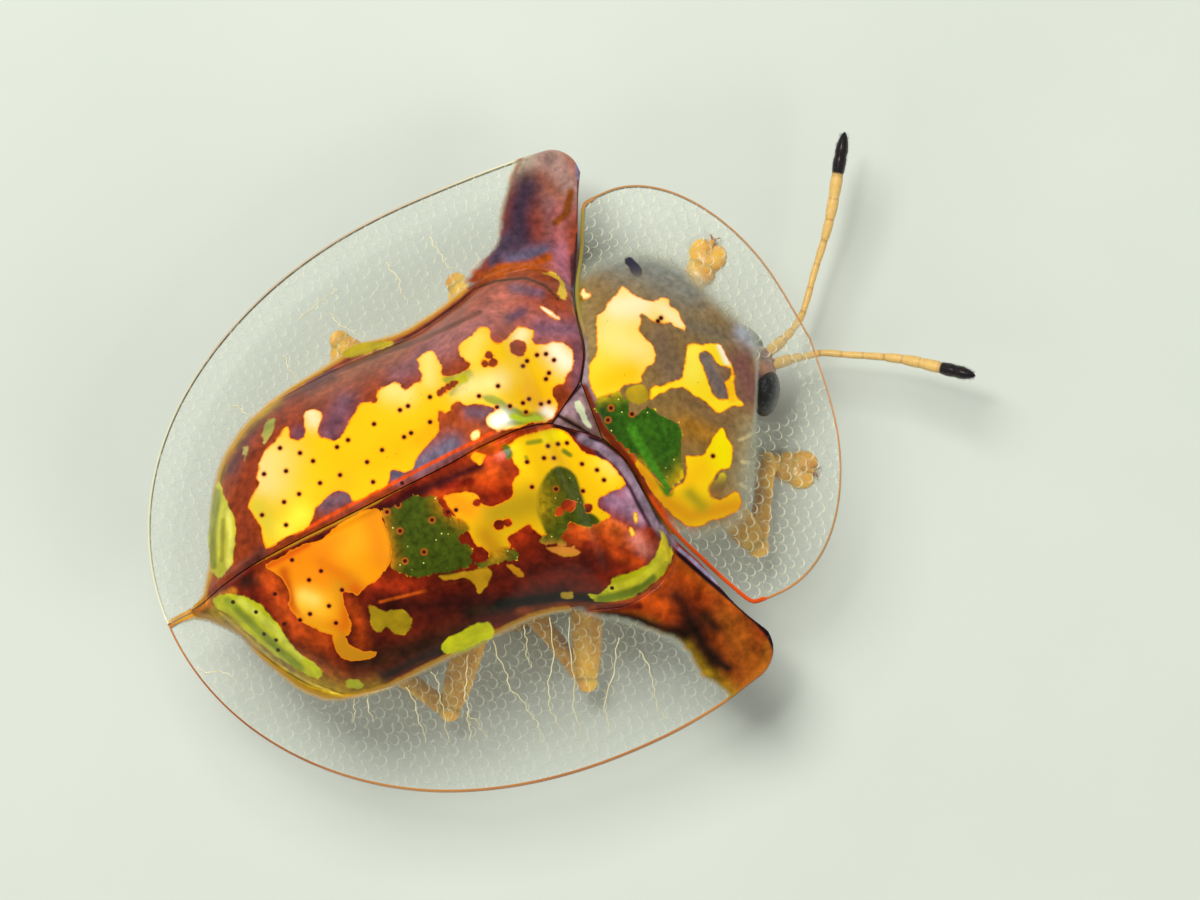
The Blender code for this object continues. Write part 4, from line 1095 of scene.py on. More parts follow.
def lacquered_cuticle(name, film, film_soft, mottling, bubbles, crumple):
    """Clear brim and gilded disc in one; film is the brown's alpha, bubbles and crumple the brim's cells."""
    made, tree, shader, place = start_material(
        name, Coat_Weight=0.3, Coat_Roughness=0.1, Coat_IOR=1.45, IOR=1.2,
    )
    stored = {word: node(tree, "Attribute", output="Fac", attribute_name=word) for word in NUMBERS}
    stored |= {word: node(tree, "Attribute", output="Color", attribute_name=word) for word in TINTS}
    grain, patchy, drift = (
        node(tree, "TexNoise", {"Vector": place, "Scale": 1 / (size * MM), "Detail": detail})
        for size, detail in ((GRAIN_MM, 4.0), (PATCH_MM, 2.0), (DRIFT_MM, 3.0))
    )
    fine_rag, coarse_rag, granular = (
        node(tree, "Math", (noise, reach, -reach / 2), operation="MULTIPLY_ADD")
        for noise, reach in ((grain, FINE_RAG), (patchy, COARSE_RAG), (grain, GRANULES))
    )
    ragged = node(tree, "Math", (fine_rag, coarse_rag), operation="ADD")
    cells = brim_cells(tree, place, patchy, stored["foam"], bubbles, crumple)
    gold_leaf, lime_leaf, painted_green_reflection = sheens(tree, place, stored["gold_tint_and_painted_light"], grain, patchy, drift)

    inward = node(tree, "Math", (ragged, BROWN_RAG, stored["cover"]), operation="MULTIPLY_ADD")
    cover = node(tree, "MapRange", (inward, -film_soft, film_soft), interpolation_type="SMOOTHSTEP")
    mottle = node(tree, "MapRange", (patchy, 0.3, 0.7, 1 - mottling, 1 + 0.6 * mottling))
    fine = node(tree, "MapRange", (grain, 0.3, 0.7, 0.7, 1.2))
    uneven = node(tree, "Math", (mottle, fine), operation="MULTIPLY")
    brown = node(tree, "VectorMath", {0: stored["cuticle_tint_and_painted_light"], 3: uneven}, operation="SCALE")
    haze = node(tree, "Mix", {0: cells["walls"], 6: rgba(HAZE), 7: cells["colour"]}, 2, data_type="RGBA")
    bare = node(tree, "Mix", {0: cover, 6: haze, 7: brown}, 2, data_type="RGBA")

    strayed = node(tree, "Math", (stored["foot"], fine_rag), operation="ADD")
    foot_line = node(tree, "Math", (FOOT_LINE, strayed), operation="SUBTRACT")
    rim_line = node(tree, "Math", (RIM_LINE, stored["rim"]), operation="SUBTRACT")
    gold, lime, spot = (
        node(tree, "Math", (stored[word], ragged), operation="ADD") for word in ("gold", "lime", "spot")
    )
    green = node(tree, "Math", (stored["green"], granular), operation="ADD")
    inner_gold = node(tree, "Math", (gold, EDGE_WIDTH), operation="SUBTRACT")
    metallic = node(tree, "Math", (gold, green), operation="MAXIMUM")
    near_metallic = node(tree, "Math", (metallic, EDGE_WIDTH), operation="ADD")
    round_pit = node(tree, "Math", (stored["dots"], RING_WIDTH), operation="ADD")
    pit_ring = node(tree, "Math", (round_pit, near_metallic), operation="MINIMUM")
    colour, covers = lay_over(tree, bare, [  # name, colour, distance, softness, strength
        ("foot", rgba(FOOT_AMBER), foot_line, 0.03, 0.75),
        ("fringe", rgba(GOLD_EDGE), gold, 0.006, 1.0),
        ("gold", gold_leaf, inner_gold, 0.018, 1.0),
        ("lime", lime_leaf, lime, 0.02, 1.0),
        # painted green reflection
        ("green", painted_green_reflection, green, 0.01, 1.0),
        ("spot", stored["gold_tint_and_painted_light"], spot, 0.02, 1.0),
        ("ring", rgba(PIT_RING), pit_ring, 0.02, 0.5),
        ("pit", rgba(PIT_BROWN), stored["dots"], 0.012, 1.0),
        ("rim", stored["cuticle_tint_and_painted_light"], rim_line, 0.012, 1.0),
    ])

    shine = node(tree, "Math", (covers["fringe"], covers["lime"]), operation="MAXIMUM")
    thin = node(tree, "Math", (stored["foam"], 0.8 * BRIM_ALPHA, 0.2 * BRIM_ALPHA), operation="MULTIPLY_ADD")
    clear = node(tree, "Math", (cells["crescents"], WALL_ALPHA, thin), operation="MULTIPLY_ADD")
    above = node(tree, "MapRange", (stored["under"], 0.0, 1.0, 1.0, UNDER_ALPHA))
    brim = node(tree, "Math", (clear, above), operation="MULTIPLY")
    alpha = node(tree, "Mix", {0: cover, 2: brim, 3: film}, 0, data_type="FLOAT")
    for layer in SOLID:
        alpha = node(tree, "Math", (alpha, covers[layer]), operation="MAXIMUM")
    uncovered = node(tree, "Math", (1.0, cover), operation="SUBTRACT")
    dents = node(tree, "Math", (cells["dents"], uncovered), operation="MULTIPLY")
    height = node(tree, "Math", (grain, 0.25, dents), operation="MULTIPLY_ADD")
    wire(
        tree, shader, Base_Color=colour, Alpha=alpha,
        Metallic=node(tree, "Math", (shine, GOLD_METALLIC), operation="MULTIPLY"),
        Roughness=node(tree, "MapRange", (grain, 0.0, 1.0, 0.34, 0.52)),
        Normal=node(tree, "Bump", {"Height": height, "Distance": 0.012 * MM, "Strength": 0.5}),
    )
    return made


case_cuticle = {
    side: lacquered_cuticle(f"gilded_cuticle_of_{side}_case", 1.0, CASE_SOFT, mottling, bubbles, crumple)
    for side, mottling, bubbles, crumple in (("left", 0.35, 0.5, 0.16), ("right", 0.5, 0.42, 0.08))
}
shield_cuticle = lacquered_cuticle("gilded_cuticle_of_neck_shield", 0.8, FILM_SOFT, 0.15, 0.62, 0.06)
print("nodes in each shell's material:", len(shield_cuticle.node_tree.nodes))

# %% [markdown]
# ## From a surface to a plate
# Wing cases and neck shield are finished alike. The punctures are sunk, a fine bead runs along the rim,
# and the plate gets its lower face and a wall. A wall is measured square to the surface, so on a steep
# flank it has to go deeper straight down.

# %% Plates with pits and a beaded rim
EVERY = 3  # the lower face has every third point of the upper one
PIT_DEPTH, PIT_EDGE = 0.008, (-0.02, 0.03)
BEAD_HEIGHT, BEAD_REACH = 0.03, 0.05
STEEPEST = 1.5
WALL_TAPER = 0.4  # a wall thins over that distance towards the brim or the rim


def steep(height, s, t):
    """How much deeper than square a wall looks when measured straight down."""
    step = 0.1
    slope_s = (height(s + step, t) - height(s - step, t)) / (2 * step)
    slope_t = (height(s, t + step) - height(s, t - step)) / (2 * step)
    return np.minimum(np.sqrt(1 + slope_s**2 + slope_t**2), STEEPEST)


def on_both_faces(marks, shape):
    """The marks of a shell's fine grid on all its points, and which points are on the lower face."""
    shaped = {word: values.reshape(*shape, *values.shape[1:]) for word, values in marks.items()}
    marks = {word: both_faces(values, EVERY) for word, values in shaped.items()}
    marks["under"] = np.ones(len(marks["rim"]))
    marks["under"][:shape[0] * shape[1]] = 0.0
    return marks


def plate(name, s, t, height, profile, wall, marks, look, slot, replaced, back=0.0):
    """Top = height + bead - pits; underside = height - (wall + bead) * steepness; back moves it rearward."""
    bead = BEAD_HEIGHT * bump(marks["rim"].reshape(s.shape), 0.0, BEAD_REACH)
    top = height + bead - PIT_DEPTH * ramp(marks["dots"].reshape(s.shape), *PIT_EDGE)
    under = height - (wall + bead) * steep(profile, s, t)
    points, faces = shell(world(s - back, t, top), world(s - back, t, under), EVERY)
    return piece(name, points, faces, look, slot, [replaced], on_both_faces(marks, s.shape))


# %% [markdown]
# ## The wing cases
# Each wing case is a closed shell: a fine grid of places above, a coarser one below and a wall round the
# edge. Rows crowd together at the rear tip and the shoulder, where the outline turns. Columns are split
# at the disc's foot, most of them on the disc, where the markings are.

# %% Two wing cases
CASE_ROWS, DISC_COLUMNS, BRIM_COLUMNS = 360, 150, 60
CASE_SPACING = {"slow_start": 0.08, "slow_end": 0.03}
DISC_LEAST, BRIM_LEAST = 0.3, 0.25  # shares of the width that the two stretches of columns keep
CASE_WALL, BRIM_WALL = 0.22, 0.09
SEAM_STRIP = 0.07  # half width of the amber ridge that runs on to the rear tip
SHOULDER_BACK = {"left": 0.0, "right": 0.15}  # the right shoulder gapes a little from the neck shield
DISC_SHARPER = 6  # the disc's own edge is that much sharper than the shoulder's


def case_grid(side):
    """Places (s, t) over one wing case, t growing along each row on both sides."""
    s = spread(CASE_ROWS, 0.0, CASE_FRONT_S, **CASE_SPACING)
    outer = rim_half_width(s)
    inner = np.minimum(inner_edge(s), outer)
    width = outer - inner
    foot = np.clip(through(DISC_HALF_WIDTH, s), inner + DISC_LEAST * width, outer - BRIM_LEAST * width)
    over_disc = inner + (foot - inner) * np.linspace(0, 1, DISC_COLUMNS + 1)[:, None]
    over_brim = foot + (outer - foot) * np.linspace(0, 1, BRIM_COLUMNS + 1)[1:, None]
    t = np.concatenate([over_disc, over_brim]).T
    if side < 0:
        t = -t[:, ::-1]
    return np.broadcast_to(s[:, None], t.shape), t


def wing_case(word, side, marks_from, disc, shoulder, shoulder_strokes):
    s, t = case_grid(side)
    back = SHOULDER_BACK[word] * ramp(np.abs(t), 2.9, 4.1) * ramp(s, 8.8, 9.7)
    outline = spread(200, 0.0, CASE_FRONT_S, **CASE_SPACING)
    edge = np.stack([outline, rim_half_width(outline)], axis=1)
    height = case_height(s, t) + case_relief(s, t)
    places = photo_place(world(s - back, t, height)).reshape(-1, 2)
    marks = read_marks(places, *marks_from)
    on_disc, on_shoulder = inside_by(places, disc), inside_by(places, shoulder)
    tinted = ramp(on_shoulder, -0.1, 0.05) * (1 - ramp(on_disc, -0.04, 0.02))
    shoulder_tint_and_painted_light = shaded(places, marks["cuticle_tint_and_painted_light"], shoulder_strokes)
    marks["cuticle_tint_and_painted_light"] += (shoulder_tint_and_painted_light - marks["cuticle_tint_and_painted_light"]) * tinted[:, None]
    marks["foot"] = np.abs(on_disc) + FAR * ramp(on_shoulder, -0.1, 0.0)
    on_seam = SEAM_STRIP - np.abs(t.ravel())
    marks["cover"] = np.maximum.reduce([DISC_SHARPER * on_disc, on_shoulder, DISC_SHARPER * on_seam])
    marks["rim"] = to_line(np.stack([s, np.abs(t)], axis=-1).reshape(-1, 2), edge)
    marks["foam"] = np.ones(len(places))
    on_brim = np.abs(t) - through(DISC_HALF_WIDTH, s)
    wall = BRIM_WALL + (CASE_WALL - BRIM_WALL) * ramp(-on_brim, 0.0, WALL_TAPER)
    return plate(
        f"wing_case_{word}", s, t, height, case_height, wall, marks, case_cuticle[word], "wing_case",
        f"elytron_{word}", back,
    )


left_marks = (LEFT_PATCHES, LEFT_GOLD_STROKES, LEFT_HOLES, LEFT_DOTS, LEFT_CUTICLE, LEFT_STROKES)
right_marks = (RIGHT_PATCHES, RIGHT_GOLD_STROKES, RIGHT_HOLES, RIGHT_DOTS, RIGHT_CUTICLE, RIGHT_STROKES)
wing_case("left", 1, left_marks, LEFT_DISC, LEFT_SHOULDER, LEFT_SHOULDER_STROKES)
wing_case("right", -1, right_marks, RIGHT_DISC, RIGHT_SHOULDER, RIGHT_SHOULDER_STROKES)

# %% [markdown]
# ## The neck shield
# The neck shield is made like a wing case, over rows that run straight across. Its brown film lets the
# head show through, so its cover is softer and its alpha lower.

# %% Neck shield
SHIELD_ROWS, SHIELD_COLUMNS = 228, 348
SHIELD_CROWDING = 0.4  # how much closer its columns stand at the sides
SHIELD_RIM_FROM_S = 9.1
EYE_PIXEL, EYE_CLEARING = (768, 392), 34  # no cells lie over the right eye, and the film ends sharply there
SHIELD_WALL, SHIELD_RIM_WALL = 0.12, 0.05
REAR_LINE = 0.035  # how much wider the red line is along the rear edge


def neck_shield():
    rows = spread(SHIELD_ROWS, BASE_S + SHIELD_GAP, SHIELD_FRONT_S, slow_end=0.05)
    even = np.linspace(-1, 1, SHIELD_COLUMNS + 1)
    across = (1 - SHIELD_CROWDING) * even + SHIELD_CROWDING * np.sin(0.5 * math.pi * even)
    t = shield_half_width(rows)[:, None] * across
    s = np.broadcast_to(rows[:, None], t.shape)
    height = shield_height(s, t)
    outline = spread(300, BASE_S + SHIELD_GAP, SHIELD_FRONT_S, slow_end=0.05)
    outline = outline[outline > SHIELD_RIM_FROM_S]
    edge = np.stack([outline, shield_half_width(outline)], axis=1)
    rear = edge[outline < CASE_FRONT_S]
    spots = np.stack([s, np.abs(t)], axis=-1).reshape(-1, 2)
    places = photo_place(world(s, t, height)).reshape(-1, 2)
    marks = read_marks(
        places, SHIELD_PATCHES, SHIELD_GOLD_STROKES, [SHIELD_HOLE], SHIELD_DOTS, SHIELD_FILM, SHIELD_STROKES
    )
    by_eye = bump(np.linalg.norm(places - EYE_PIXEL, axis=1), 0, EYE_CLEARING)
    marks["foam"] = 1 - ramp(by_eye, 0.3, 0.55)
    marks["cover"] = inside_by(places, SHIELD_COVER) * (1 + 5 * by_eye)
    marks["foot"] = np.full(len(places), FAR)
    marks["rim"] = np.minimum(to_line(spots, edge), to_line(spots, rear) - REAR_LINE)
    inward = ramp(marks["rim"].reshape(s.shape), 0.0, WALL_TAPER)
    wall = SHIELD_RIM_WALL + (SHIELD_WALL - SHIELD_RIM_WALL) * inward
    return plate(
        "neck_shield_plate", s, t, height, shield_height, wall, marks, shield_cuticle, "neck_shield",
        "pronotum",
    )


neck_shield()

# %% [markdown]
# ## The scutellum
# Between the bases of the two wing cases lies a small hard triangle, the scutellum. It fills the gap
# between them but for a hairline, so it is a grid whose rows are as wide as that gap, a little sunken
# and domed, over the same coarse underside as the shells.

# %% Scutellum
SCUTELLUM_ROWS = 42
HAIRLINE, LEAST_HALF = 0.025, 0.004
SCUTELLUM_SUNK, SCUTELLUM_DOME, SCUTELLUM_DEPTH = 0.03, 0.06, 0.15
SCUTELLUM_CUTICLE = "#8A6A70"
# Painted highlight: the pale greenish streak down the scutellum's middle.
SCUTELLUM_PATCHES = [
    ("lime", "#D8DEB0", [
        (574, 402), (579, 400), (584, 408), (588, 418), (592, 429), (586, 427), (580, 418), (576, 410),
    ]),
]
SCUTELLUM_STROKES = [
    ("#9A7A80", 12, [(572, 398), (570, 415)]), ("#6A5044", 5, [(566, 420), (580, 428), (596, 438)]),
    ("#7A5A50", 4, [(586, 396), (594, 415), (599, 436)]), ("#2A1616", 2, [(559, 410), (580, 386)]),
    ("#2A1616", 2, [(559, 416), (580, 428), (600, 442)]),
]


def scutellum():
    """Half width = gap between the cases - hairline; height = theirs - 0.03 + 0.06 * (1 - v^2)."""
    rows = np.linspace(SCUTELLUM_TIP_S + 0.03, BASE_S + 0.03, SCUTELLUM_ROWS + 1)[:, None]
    v = np.linspace(-1, 1, SCUTELLUM_ROWS + 1)[None, :]
    s, t = np.broadcast_arrays(rows, v * np.maximum(inner_edge(rows) - HAIRLINE, LEAST_HALF))
    level = case_height(s, inner_edge(s))
    domed = ramp(s, SCUTELLUM_TIP_S, SCUTELLUM_TIP_S + 0.3)
    height = level - SCUTELLUM_SUNK + SCUTELLUM_DOME * (1 - v**2) * domed
    places = photo_place(world(s, t, height)).reshape(-1, 2)
    marks = read_marks(places, SCUTELLUM_PATCHES, [], [], [], SCUTELLUM_CUTICLE, SCUTELLUM_STROKES)
    for word, value in (("cover", FAR), ("foot", FAR), ("rim", FAR), ("foam", 0.0)):
        marks[word] = np.full(len(places), value)
    points, faces = shell(world(s, t, height), world(s, t, level - SCUTELLUM_DEPTH), EVERY)
    marks = on_both_faces(marks, s.shape)
    return piece("scutellum_plate", points, faces, case_cuticle["right"], "wing_case", ["scutellum"], marks)


scutellum()

# %% [markdown]
# ## Plain cuticle
# Everything but the shells is plain hard cuticle: a drift between two browns, a thin clear coat and,
# where the skin has punctures, small pits in the relief. One function makes it in several colours.

# %% Plain cuticle
SKIN_PIT_MM = 0.11
SKIN_RELIEF_MM = 0.02
SKIN_GLOW = (1.0, 0.55, 0.2)  # light goes farthest into cuticle as red


def glossy_cuticle(name, pale, dark, across_mm, roughness=0.3, coat=0.7, subsurface=0.0, prick=0.0):
    """Colour = pale to dark by a noise of the given size; relief = the same noise less the pits."""
    made, tree, shader, place = start_material(
        name, Coat_Weight=coat, Coat_Roughness=0.08, IOR=1.55, Subsurface_Weight=subsurface,
        Subsurface_Scale=0.15 * MM, Subsurface_Radius=SKIN_GLOW,
    )
    drift = node(tree, "TexNoise", {"Vector": place, "Scale": 1 / (across_mm * MM), "Detail": 5.0})
    share = node(tree, "MapRange", (drift, 0.35, 0.65))
    pits = node(tree, "TexVoronoi", {"Vector": place, "Scale": 1 / (SKIN_PIT_MM * MM)})
    pit = node(tree, "MapRange", (pits, 0.05, 0.3, -prick, 0.0))
    height = node(tree, "Math", (pit, drift), operation="ADD")
    wire(
        tree, shader,
        Base_Color=node(tree, "Mix", {0: share, 6: rgba(pale), 7: rgba(dark)}, 2, data_type="RGBA"),
        Roughness=node(tree, "MapRange", (drift, 0.0, 1.0, roughness - 0.06, roughness + 0.1)),
        Normal=node(tree, "Bump", {"Height": height, "Distance": SKIN_RELIEF_MM * MM, "Strength": 0.6}),
    )
    return made


chitin_thread = glossy_cuticle("pale_chitin_of_air_tubes", "#EFE6B8", "#D9C88A", 0.3, roughness=0.4, coat=0.2)
print("nodes in the chitin of the air tubes:", len(chitin_thread.node_tree.nodes))

# %% [markdown]
# ## Air tubes in the clear brim
# Thin branching air tubes run out from the disc between the two layers of the brim. Each is a few pixels
# traced on the photograph; a line of sight through a pixel is followed down until it meets the brim, and
# a hair-thin tube is swept just under the surface there.

# %% Air tubes
TUBE_RADIUS, TUBE_DEPTH = 0.011, 0.035
TUBE_WAVE, WAVE_TURN, SECOND_WAVE, SECOND_TURN = 0.022, 3.6, 0.6, 2.7
TUBE_POINTS = 10  # along a tube for each traced pixel
SIGHT_STEPS = 12
TUBES = {
    "right": [
        [(407, 686), (418, 715), (425, 742)],
        [(432, 670), (439, 689), (443, 713), (450, 742)],
        [(469, 654), (465, 684), (466, 702), (469, 715), (477, 722), (486, 736)],
        [(468, 712), (470, 742)],
        [(493, 640), (504, 670), (511, 688), (526, 706), (536, 722), (544, 742)],
        [(525, 624), (526, 646), (530, 668)],
        [(551, 616), (552, 664), (548, 692), (551, 710), (559, 729)],
        [(568, 617), (573, 678), (575, 713), (582, 741)],
        [(619, 637), (613, 671), (605, 713), (610, 733)],
        [(365, 692), (373, 722)],
        [(355, 698), (353, 722)],
        [(640, 650), (652, 676), (655, 700), (668, 720)],
        [(196, 668), (210, 672), (222, 671), (234, 679)],
    ],
    "left": [
        [(328, 313), (345, 328), (360, 335)],
        [(283, 355), (290, 370), (297, 382)],
        [(232, 405), (245, 412), (250, 418)],
        [(300, 318), (318, 303), (338, 288)],
        [(386, 262), (398, 280), (404, 300)],
        [(430, 236), (440, 255), (452, 270)],
    ],
}


def seen_on(pixels, height, drop):
    """Follows each pixel's line of sight to a level, reads the surface's height there, and repeats."""
    pixels = np.asarray(pixels, float)
    across, down = pixels[:, :1] - PHOTO_WIDTH / 2, pixels[:, 1:] - PHOTO_HEIGHT / 2
    ray = (across * picture_right - down * picture_up) / focal_pixels - toward_camera
    z = np.full(len(pixels), AIM_HEIGHT)
    for _ in range(SIGHT_STEPS):
        reach = (z * MM - camera_place[2]) / ray[:, 2]
        point = (camera_place + reach[:, None] * ray) / MM
        t, along = point[:, 0], ORIGIN_S - point[:, 1]
        s = along - askew(along - askew(along, t), t)
        z = height(s, t)
    return np.stack([s, t, z - drop], axis=1)


def air_tubes(side):
    """Radius = 0.011 * (1 - 0.5 * u^2); the path sways by sin(a) + 0.6 * sin(2.7 * a)."""
    tubes = []
    for line in TUBES[side]:
        path = smooth_path(seen_on(line, case_height, TUBE_DEPTH), TUBE_POINTS * len(line))
        along = np.linspace(0, WAVE_TURN * len(line), len(path)) + line[0][0]
        path[:, 0] += TUBE_WAVE * (np.sin(along) + SECOND_WAVE * np.sin(SECOND_TURN * along))
        fade = TUBE_RADIUS * (1 - 0.5 * np.linspace(0, 1, len(path)) ** 2)
        points, faces = sweep(path, fade, fade, around=6)
        tubes.append((onto_world(points), faces))
    return piece(f"air_tubes_{side}", *gathered(tubes), chitin_thread, "wing_case")


for side in TUBES:
    air_tubes(side)

# %% [markdown]
# ## The underside
# Seen from below, a beetle's body is one skin in rings. The belly plates overlap like tiles toward the
# rear, the breast is a broad plate with a groove down its middle, and the legs are set in sockets. One
# skin over the whole trunk is a ring carried from rear to front: roof-shaped above, so that it stays
# under the shells, and rounded below with the plates' steps and sockets as a relief.

# %% The trunk's skin
UNDERSIDE, FLANK = 1.25, 1.9
ROOF_CLEARANCE, SIDE_CLEARANCE = 0.95, 0.55
TRUNK_REAR_S, TRUNK_FRONT_S = 1.3, 10.85
TRUNK_RINGS, TRUNK_AROUND = 260, 200
REAR_END = 0.6  # over that length the rear end rounds off
COLLAR_LENGTH = 0.85  # over that length the front end rounds down to the head's neck
COLLAR_WIDTH, COLLAR_HEIGHT = 0.75, 0.1  # the front end's shares of the full width and height
LOBE_HALF_WIDTH, LOBE_S, LOBE_REACH = 2.3, 9.3, 1.75
BELLY_STEPS = (2.35, 3.05, 3.8, 4.6)
BREAST_STEPS = (5.6, 7.35, 8.85)
HIPS = [(6.4, 0.7), (8.1, 0.7), (10.0, 0.5)]
TILE_LENGTH, TILE_STEP, SEAM_DEPTH, SEAM_REACH = 0.75, 0.09, 0.1, 0.05
SOCKET_DEPTH, SOCKET_REACH = 0.28, (0.32, 0.34)


def collar(s):
    """1 behind, and down to 0 at the front end as a quarter circle falls."""
    ahead = np.clip((s - TRUNK_FRONT_S) / COLLAR_LENGTH + 1, 0, 1)
    return np.sqrt(1 - ahead**2)


def trunk_half_width(s):
    """Half a millimetre inside the disc's foot behind, and a rounded lobe under the neck shield."""
    behind = through(DISC_HALF_WIDTH, s) - SIDE_CLEARANCE
    lobe = LOBE_HALF_WIDTH * np.sqrt(np.clip(1 - ((s - LOBE_S) / LOBE_REACH) ** 2, 0.03, 1))
    join = ramp(s, 8.55, 8.95)
    ends = np.sqrt(np.clip((s - TRUNK_REAR_S) / REAR_END, 0, 1))
    return (behind * (1 - join) + lobe * join) * ends * (COLLAR_WIDTH + (1 - COLLAR_WIDTH) * collar(s))


def trunk_roof(s):
    """The height of the shells' middle line less a clearance, rounded down at the collar."""
    behind = through(KEEL_HEIGHT, s) - ROOF_CLEARANCE
    ahead = shield_height(s, 0.0) - ROOF_CLEARANCE
    join = ramp(s, 8.5, 9.0)
    roof = np.maximum(behind * (1 - join) + ahead * join, FLANK + 0.05)
    return FLANK + (roof - FLANK) * (COLLAR_HEIGHT + (1 - COLLAR_HEIGHT) * collar(s))


def trunk_relief(s, t):
    """Millimetres outward: a tile step at each plate's rear edge, sockets, a groove, fine wrinkles."""
    lean = s + 0.05 * t**2
    tiles = sum(
        TILE_STEP * np.clip((lean - step) / TILE_LENGTH, 0, 1) * ramp(step + TILE_LENGTH - lean, 0.0, 0.01)
        for step in BELLY_STEPS
    )
    seams = -sum(SEAM_DEPTH * bump(lean, step, SEAM_REACH) for step in BREAST_STEPS + BELLY_STEPS)
    groove = -0.06 * bump(t, 0, 0.05) * ramp(s, 5.7, 6.0)
    near_s, near_t = SOCKET_REACH
    sockets = -sum(SOCKET_DEPTH * bump(s, at, near_s) * bump(np.abs(t), out, near_t) for at, out in HIPS)
    keel = 0.12 * bump(t, 0, 0.16) * ramp(s, 9.2, 9.6) * ramp(10.7 - s, 0, 0.4)
    wrinkles = 0.012 * np.sin(26 * s + 3 * np.sin(2 * t)) * ramp(np.abs(t), 1.2, 2.0)
    return tiles + seams + groove + sockets + keel + wrinkles


def trunk_skin():
    """t = half width * cos; above = flank + roof * (1 - |cos|^2.2)^1.2; below = flank - depth * |sin|^0.7."""
    s = spread(TRUNK_RINGS, TRUNK_REAR_S, TRUNK_FRONT_S, slow_start=0.05, slow_end=0.05)[:, None]
    turn = np.linspace(0, 2 * math.pi, TRUNK_AROUND, endpoint=False)[None, :]
    across, up = np.cos(turn), np.sin(turn)
    half = trunk_half_width(s)
    t = half * across
    roof = np.clip(1 - np.abs(across) ** 2.2, 0, 1) ** 1.2
    above = FLANK + (trunk_roof(s) - FLANK) * roof
    depth = (FLANK - UNDERSIDE) * np.abs(up) ** 0.7 * np.clip(half / 1.2, 0, 1)
    below = FLANK - depth - trunk_relief(s, t) * ramp(-up, 0.0, 0.35) * np.clip(half - 0.2, 0, 1)
    s, t, height = np.broadcast_arrays(s, t, np.where(up >= 0, above, below))
    first = np.arange(TRUNK_AROUND)
    last = TRUNK_RINGS * TRUNK_AROUND + first
    faces = [quads(TRUNK_RINGS + 1, TRUNK_AROUND, wrap=True), first[None, ::-1], last[None]]
    return piece(
        "trunk_skin", world(s, t, height), faces, belly_cuticle, "belly", ["abdomen", "thorax", "prothorax"],
    )


belly_cuticle = glossy_cuticle(
    "honey_cuticle_of_belly", "#C98F35", "#8A551C", 0.7, roughness=0.34, coat=0.5, subsurface=0.15, prick=0.6,
)
trunk_skin()

# %% [markdown]
# ## The head
# The head hangs under the neck shield with its face turned forward and down. The capsule is one surface
# of rings round its long axis, from the narrow neck inside the trunk to the flat face. The face carries a
# groove down the middle, a raised plate above the mouth and two sockets for the feelers, all written as
# bumps on the surface, because they are far smaller than the capsule itself.

# %% Head capsule
HEAD_T = 0.08  # the head is turned a little to the beetle's left
HEAD_S, HEAD_Z = 11.66, 1.36
HEAD_LENGTH, HEAD_WIDTH, HEAD_HEIGHT = 0.52, 0.56, 0.5
HEAD_RINGS, HEAD_AROUND = 150, 180
NECK_S, NECK_ANGLE, NECK_NARROWING = 10.75, 0.35, 0.25
FACE_FLATNESS, HEAD_FULLNESS = 0.85, 0.75  # powers below 1 make the face flatter and the rings fuller
CHEEK_FLATNESS = 0.12
SOCKETS_T, SOCKETS_Z, SOCKET_RADIUS = 0.12, 1.46, 0.085


def face_relief(t, z):
    """Millimetres forward: a groove, a raised plate, ringed sockets for the feelers and a brow."""
    groove = -0.03 * bump(t, 0, 0.025) * ramp(z, 1.25, 1.5)
    raised = 0.035 * ramp(0.34 - np.abs(t) - 0.5 * np.abs(z - 1.08), 0, 0.06)
    gone = np.hypot(np.abs(t) - SOCKETS_T, z - SOCKETS_Z)
    socket = 0.035 * bump(gone, SOCKET_RADIUS, 0.025) - 0.05 * bump(gone, 0, 0.05)
    brow = 0.03 * bump(np.abs(t), 0.33, 0.05) * bump(z, 1.5, 0.25)
    return groove + raised + socket + brow


def head_capsule():
    """Ring radius = sin^0.75 of the angle from neck to face; the face's bumps push forward along s."""
    angle, turn = round_grid(HEAD_RINGS, HEAD_AROUND, first=NECK_ANGLE)
    ahead = -np.cos(angle)
    s = HEAD_S + HEAD_LENGTH * np.sign(ahead) * np.abs(ahead) ** FACE_FLATNESS
    behind = ramp(HEAD_S - s, 0.0, HEAD_LENGTH)
    ring = np.abs(np.sin(angle)) ** HEAD_FULLNESS * (1 - NECK_NARROWING * behind)
    s = s - (HEAD_S - HEAD_LENGTH - NECK_S) * behind**2
    t = HEAD_WIDTH * ring * np.cos(turn)
    z = HEAD_Z + HEAD_HEIGHT * ring * np.sin(turn) * (1 - CHEEK_FLATNESS * np.abs(np.cos(turn)))
    s = s + ramp(s, HEAD_S, HEAD_S + 0.3) * face_relief(t, z)
    faces = [quads(HEAD_RINGS + 1, HEAD_AROUND, wrap=True), np.arange(HEAD_AROUND)[None, ::-1]]
    return piece("head_capsule", world(s, HEAD_T + t, z), faces, face_cuticle, "belly", ["head"])


face_cuticle = glossy_cuticle(
    "mauve_cuticle_of_head", "#B98A6A", "#7A4E4A", 0.35, roughness=0.36, coat=0.5, subsurface=0.1, prick=0.8,
)
head_capsule()

# %% [markdown]
# ## Eyes of many facets
# A beetle's eye is a bulge of hundreds of hexagonal lenses. Real ones here are about 0.025 mm across,
# too fine to show, so they are drawn at 0.045 mm. The middles of the facets are a triangular grid, laid
# on a map of the ellipsoid that keeps areas equal, and each facet swells a little toward its middle.

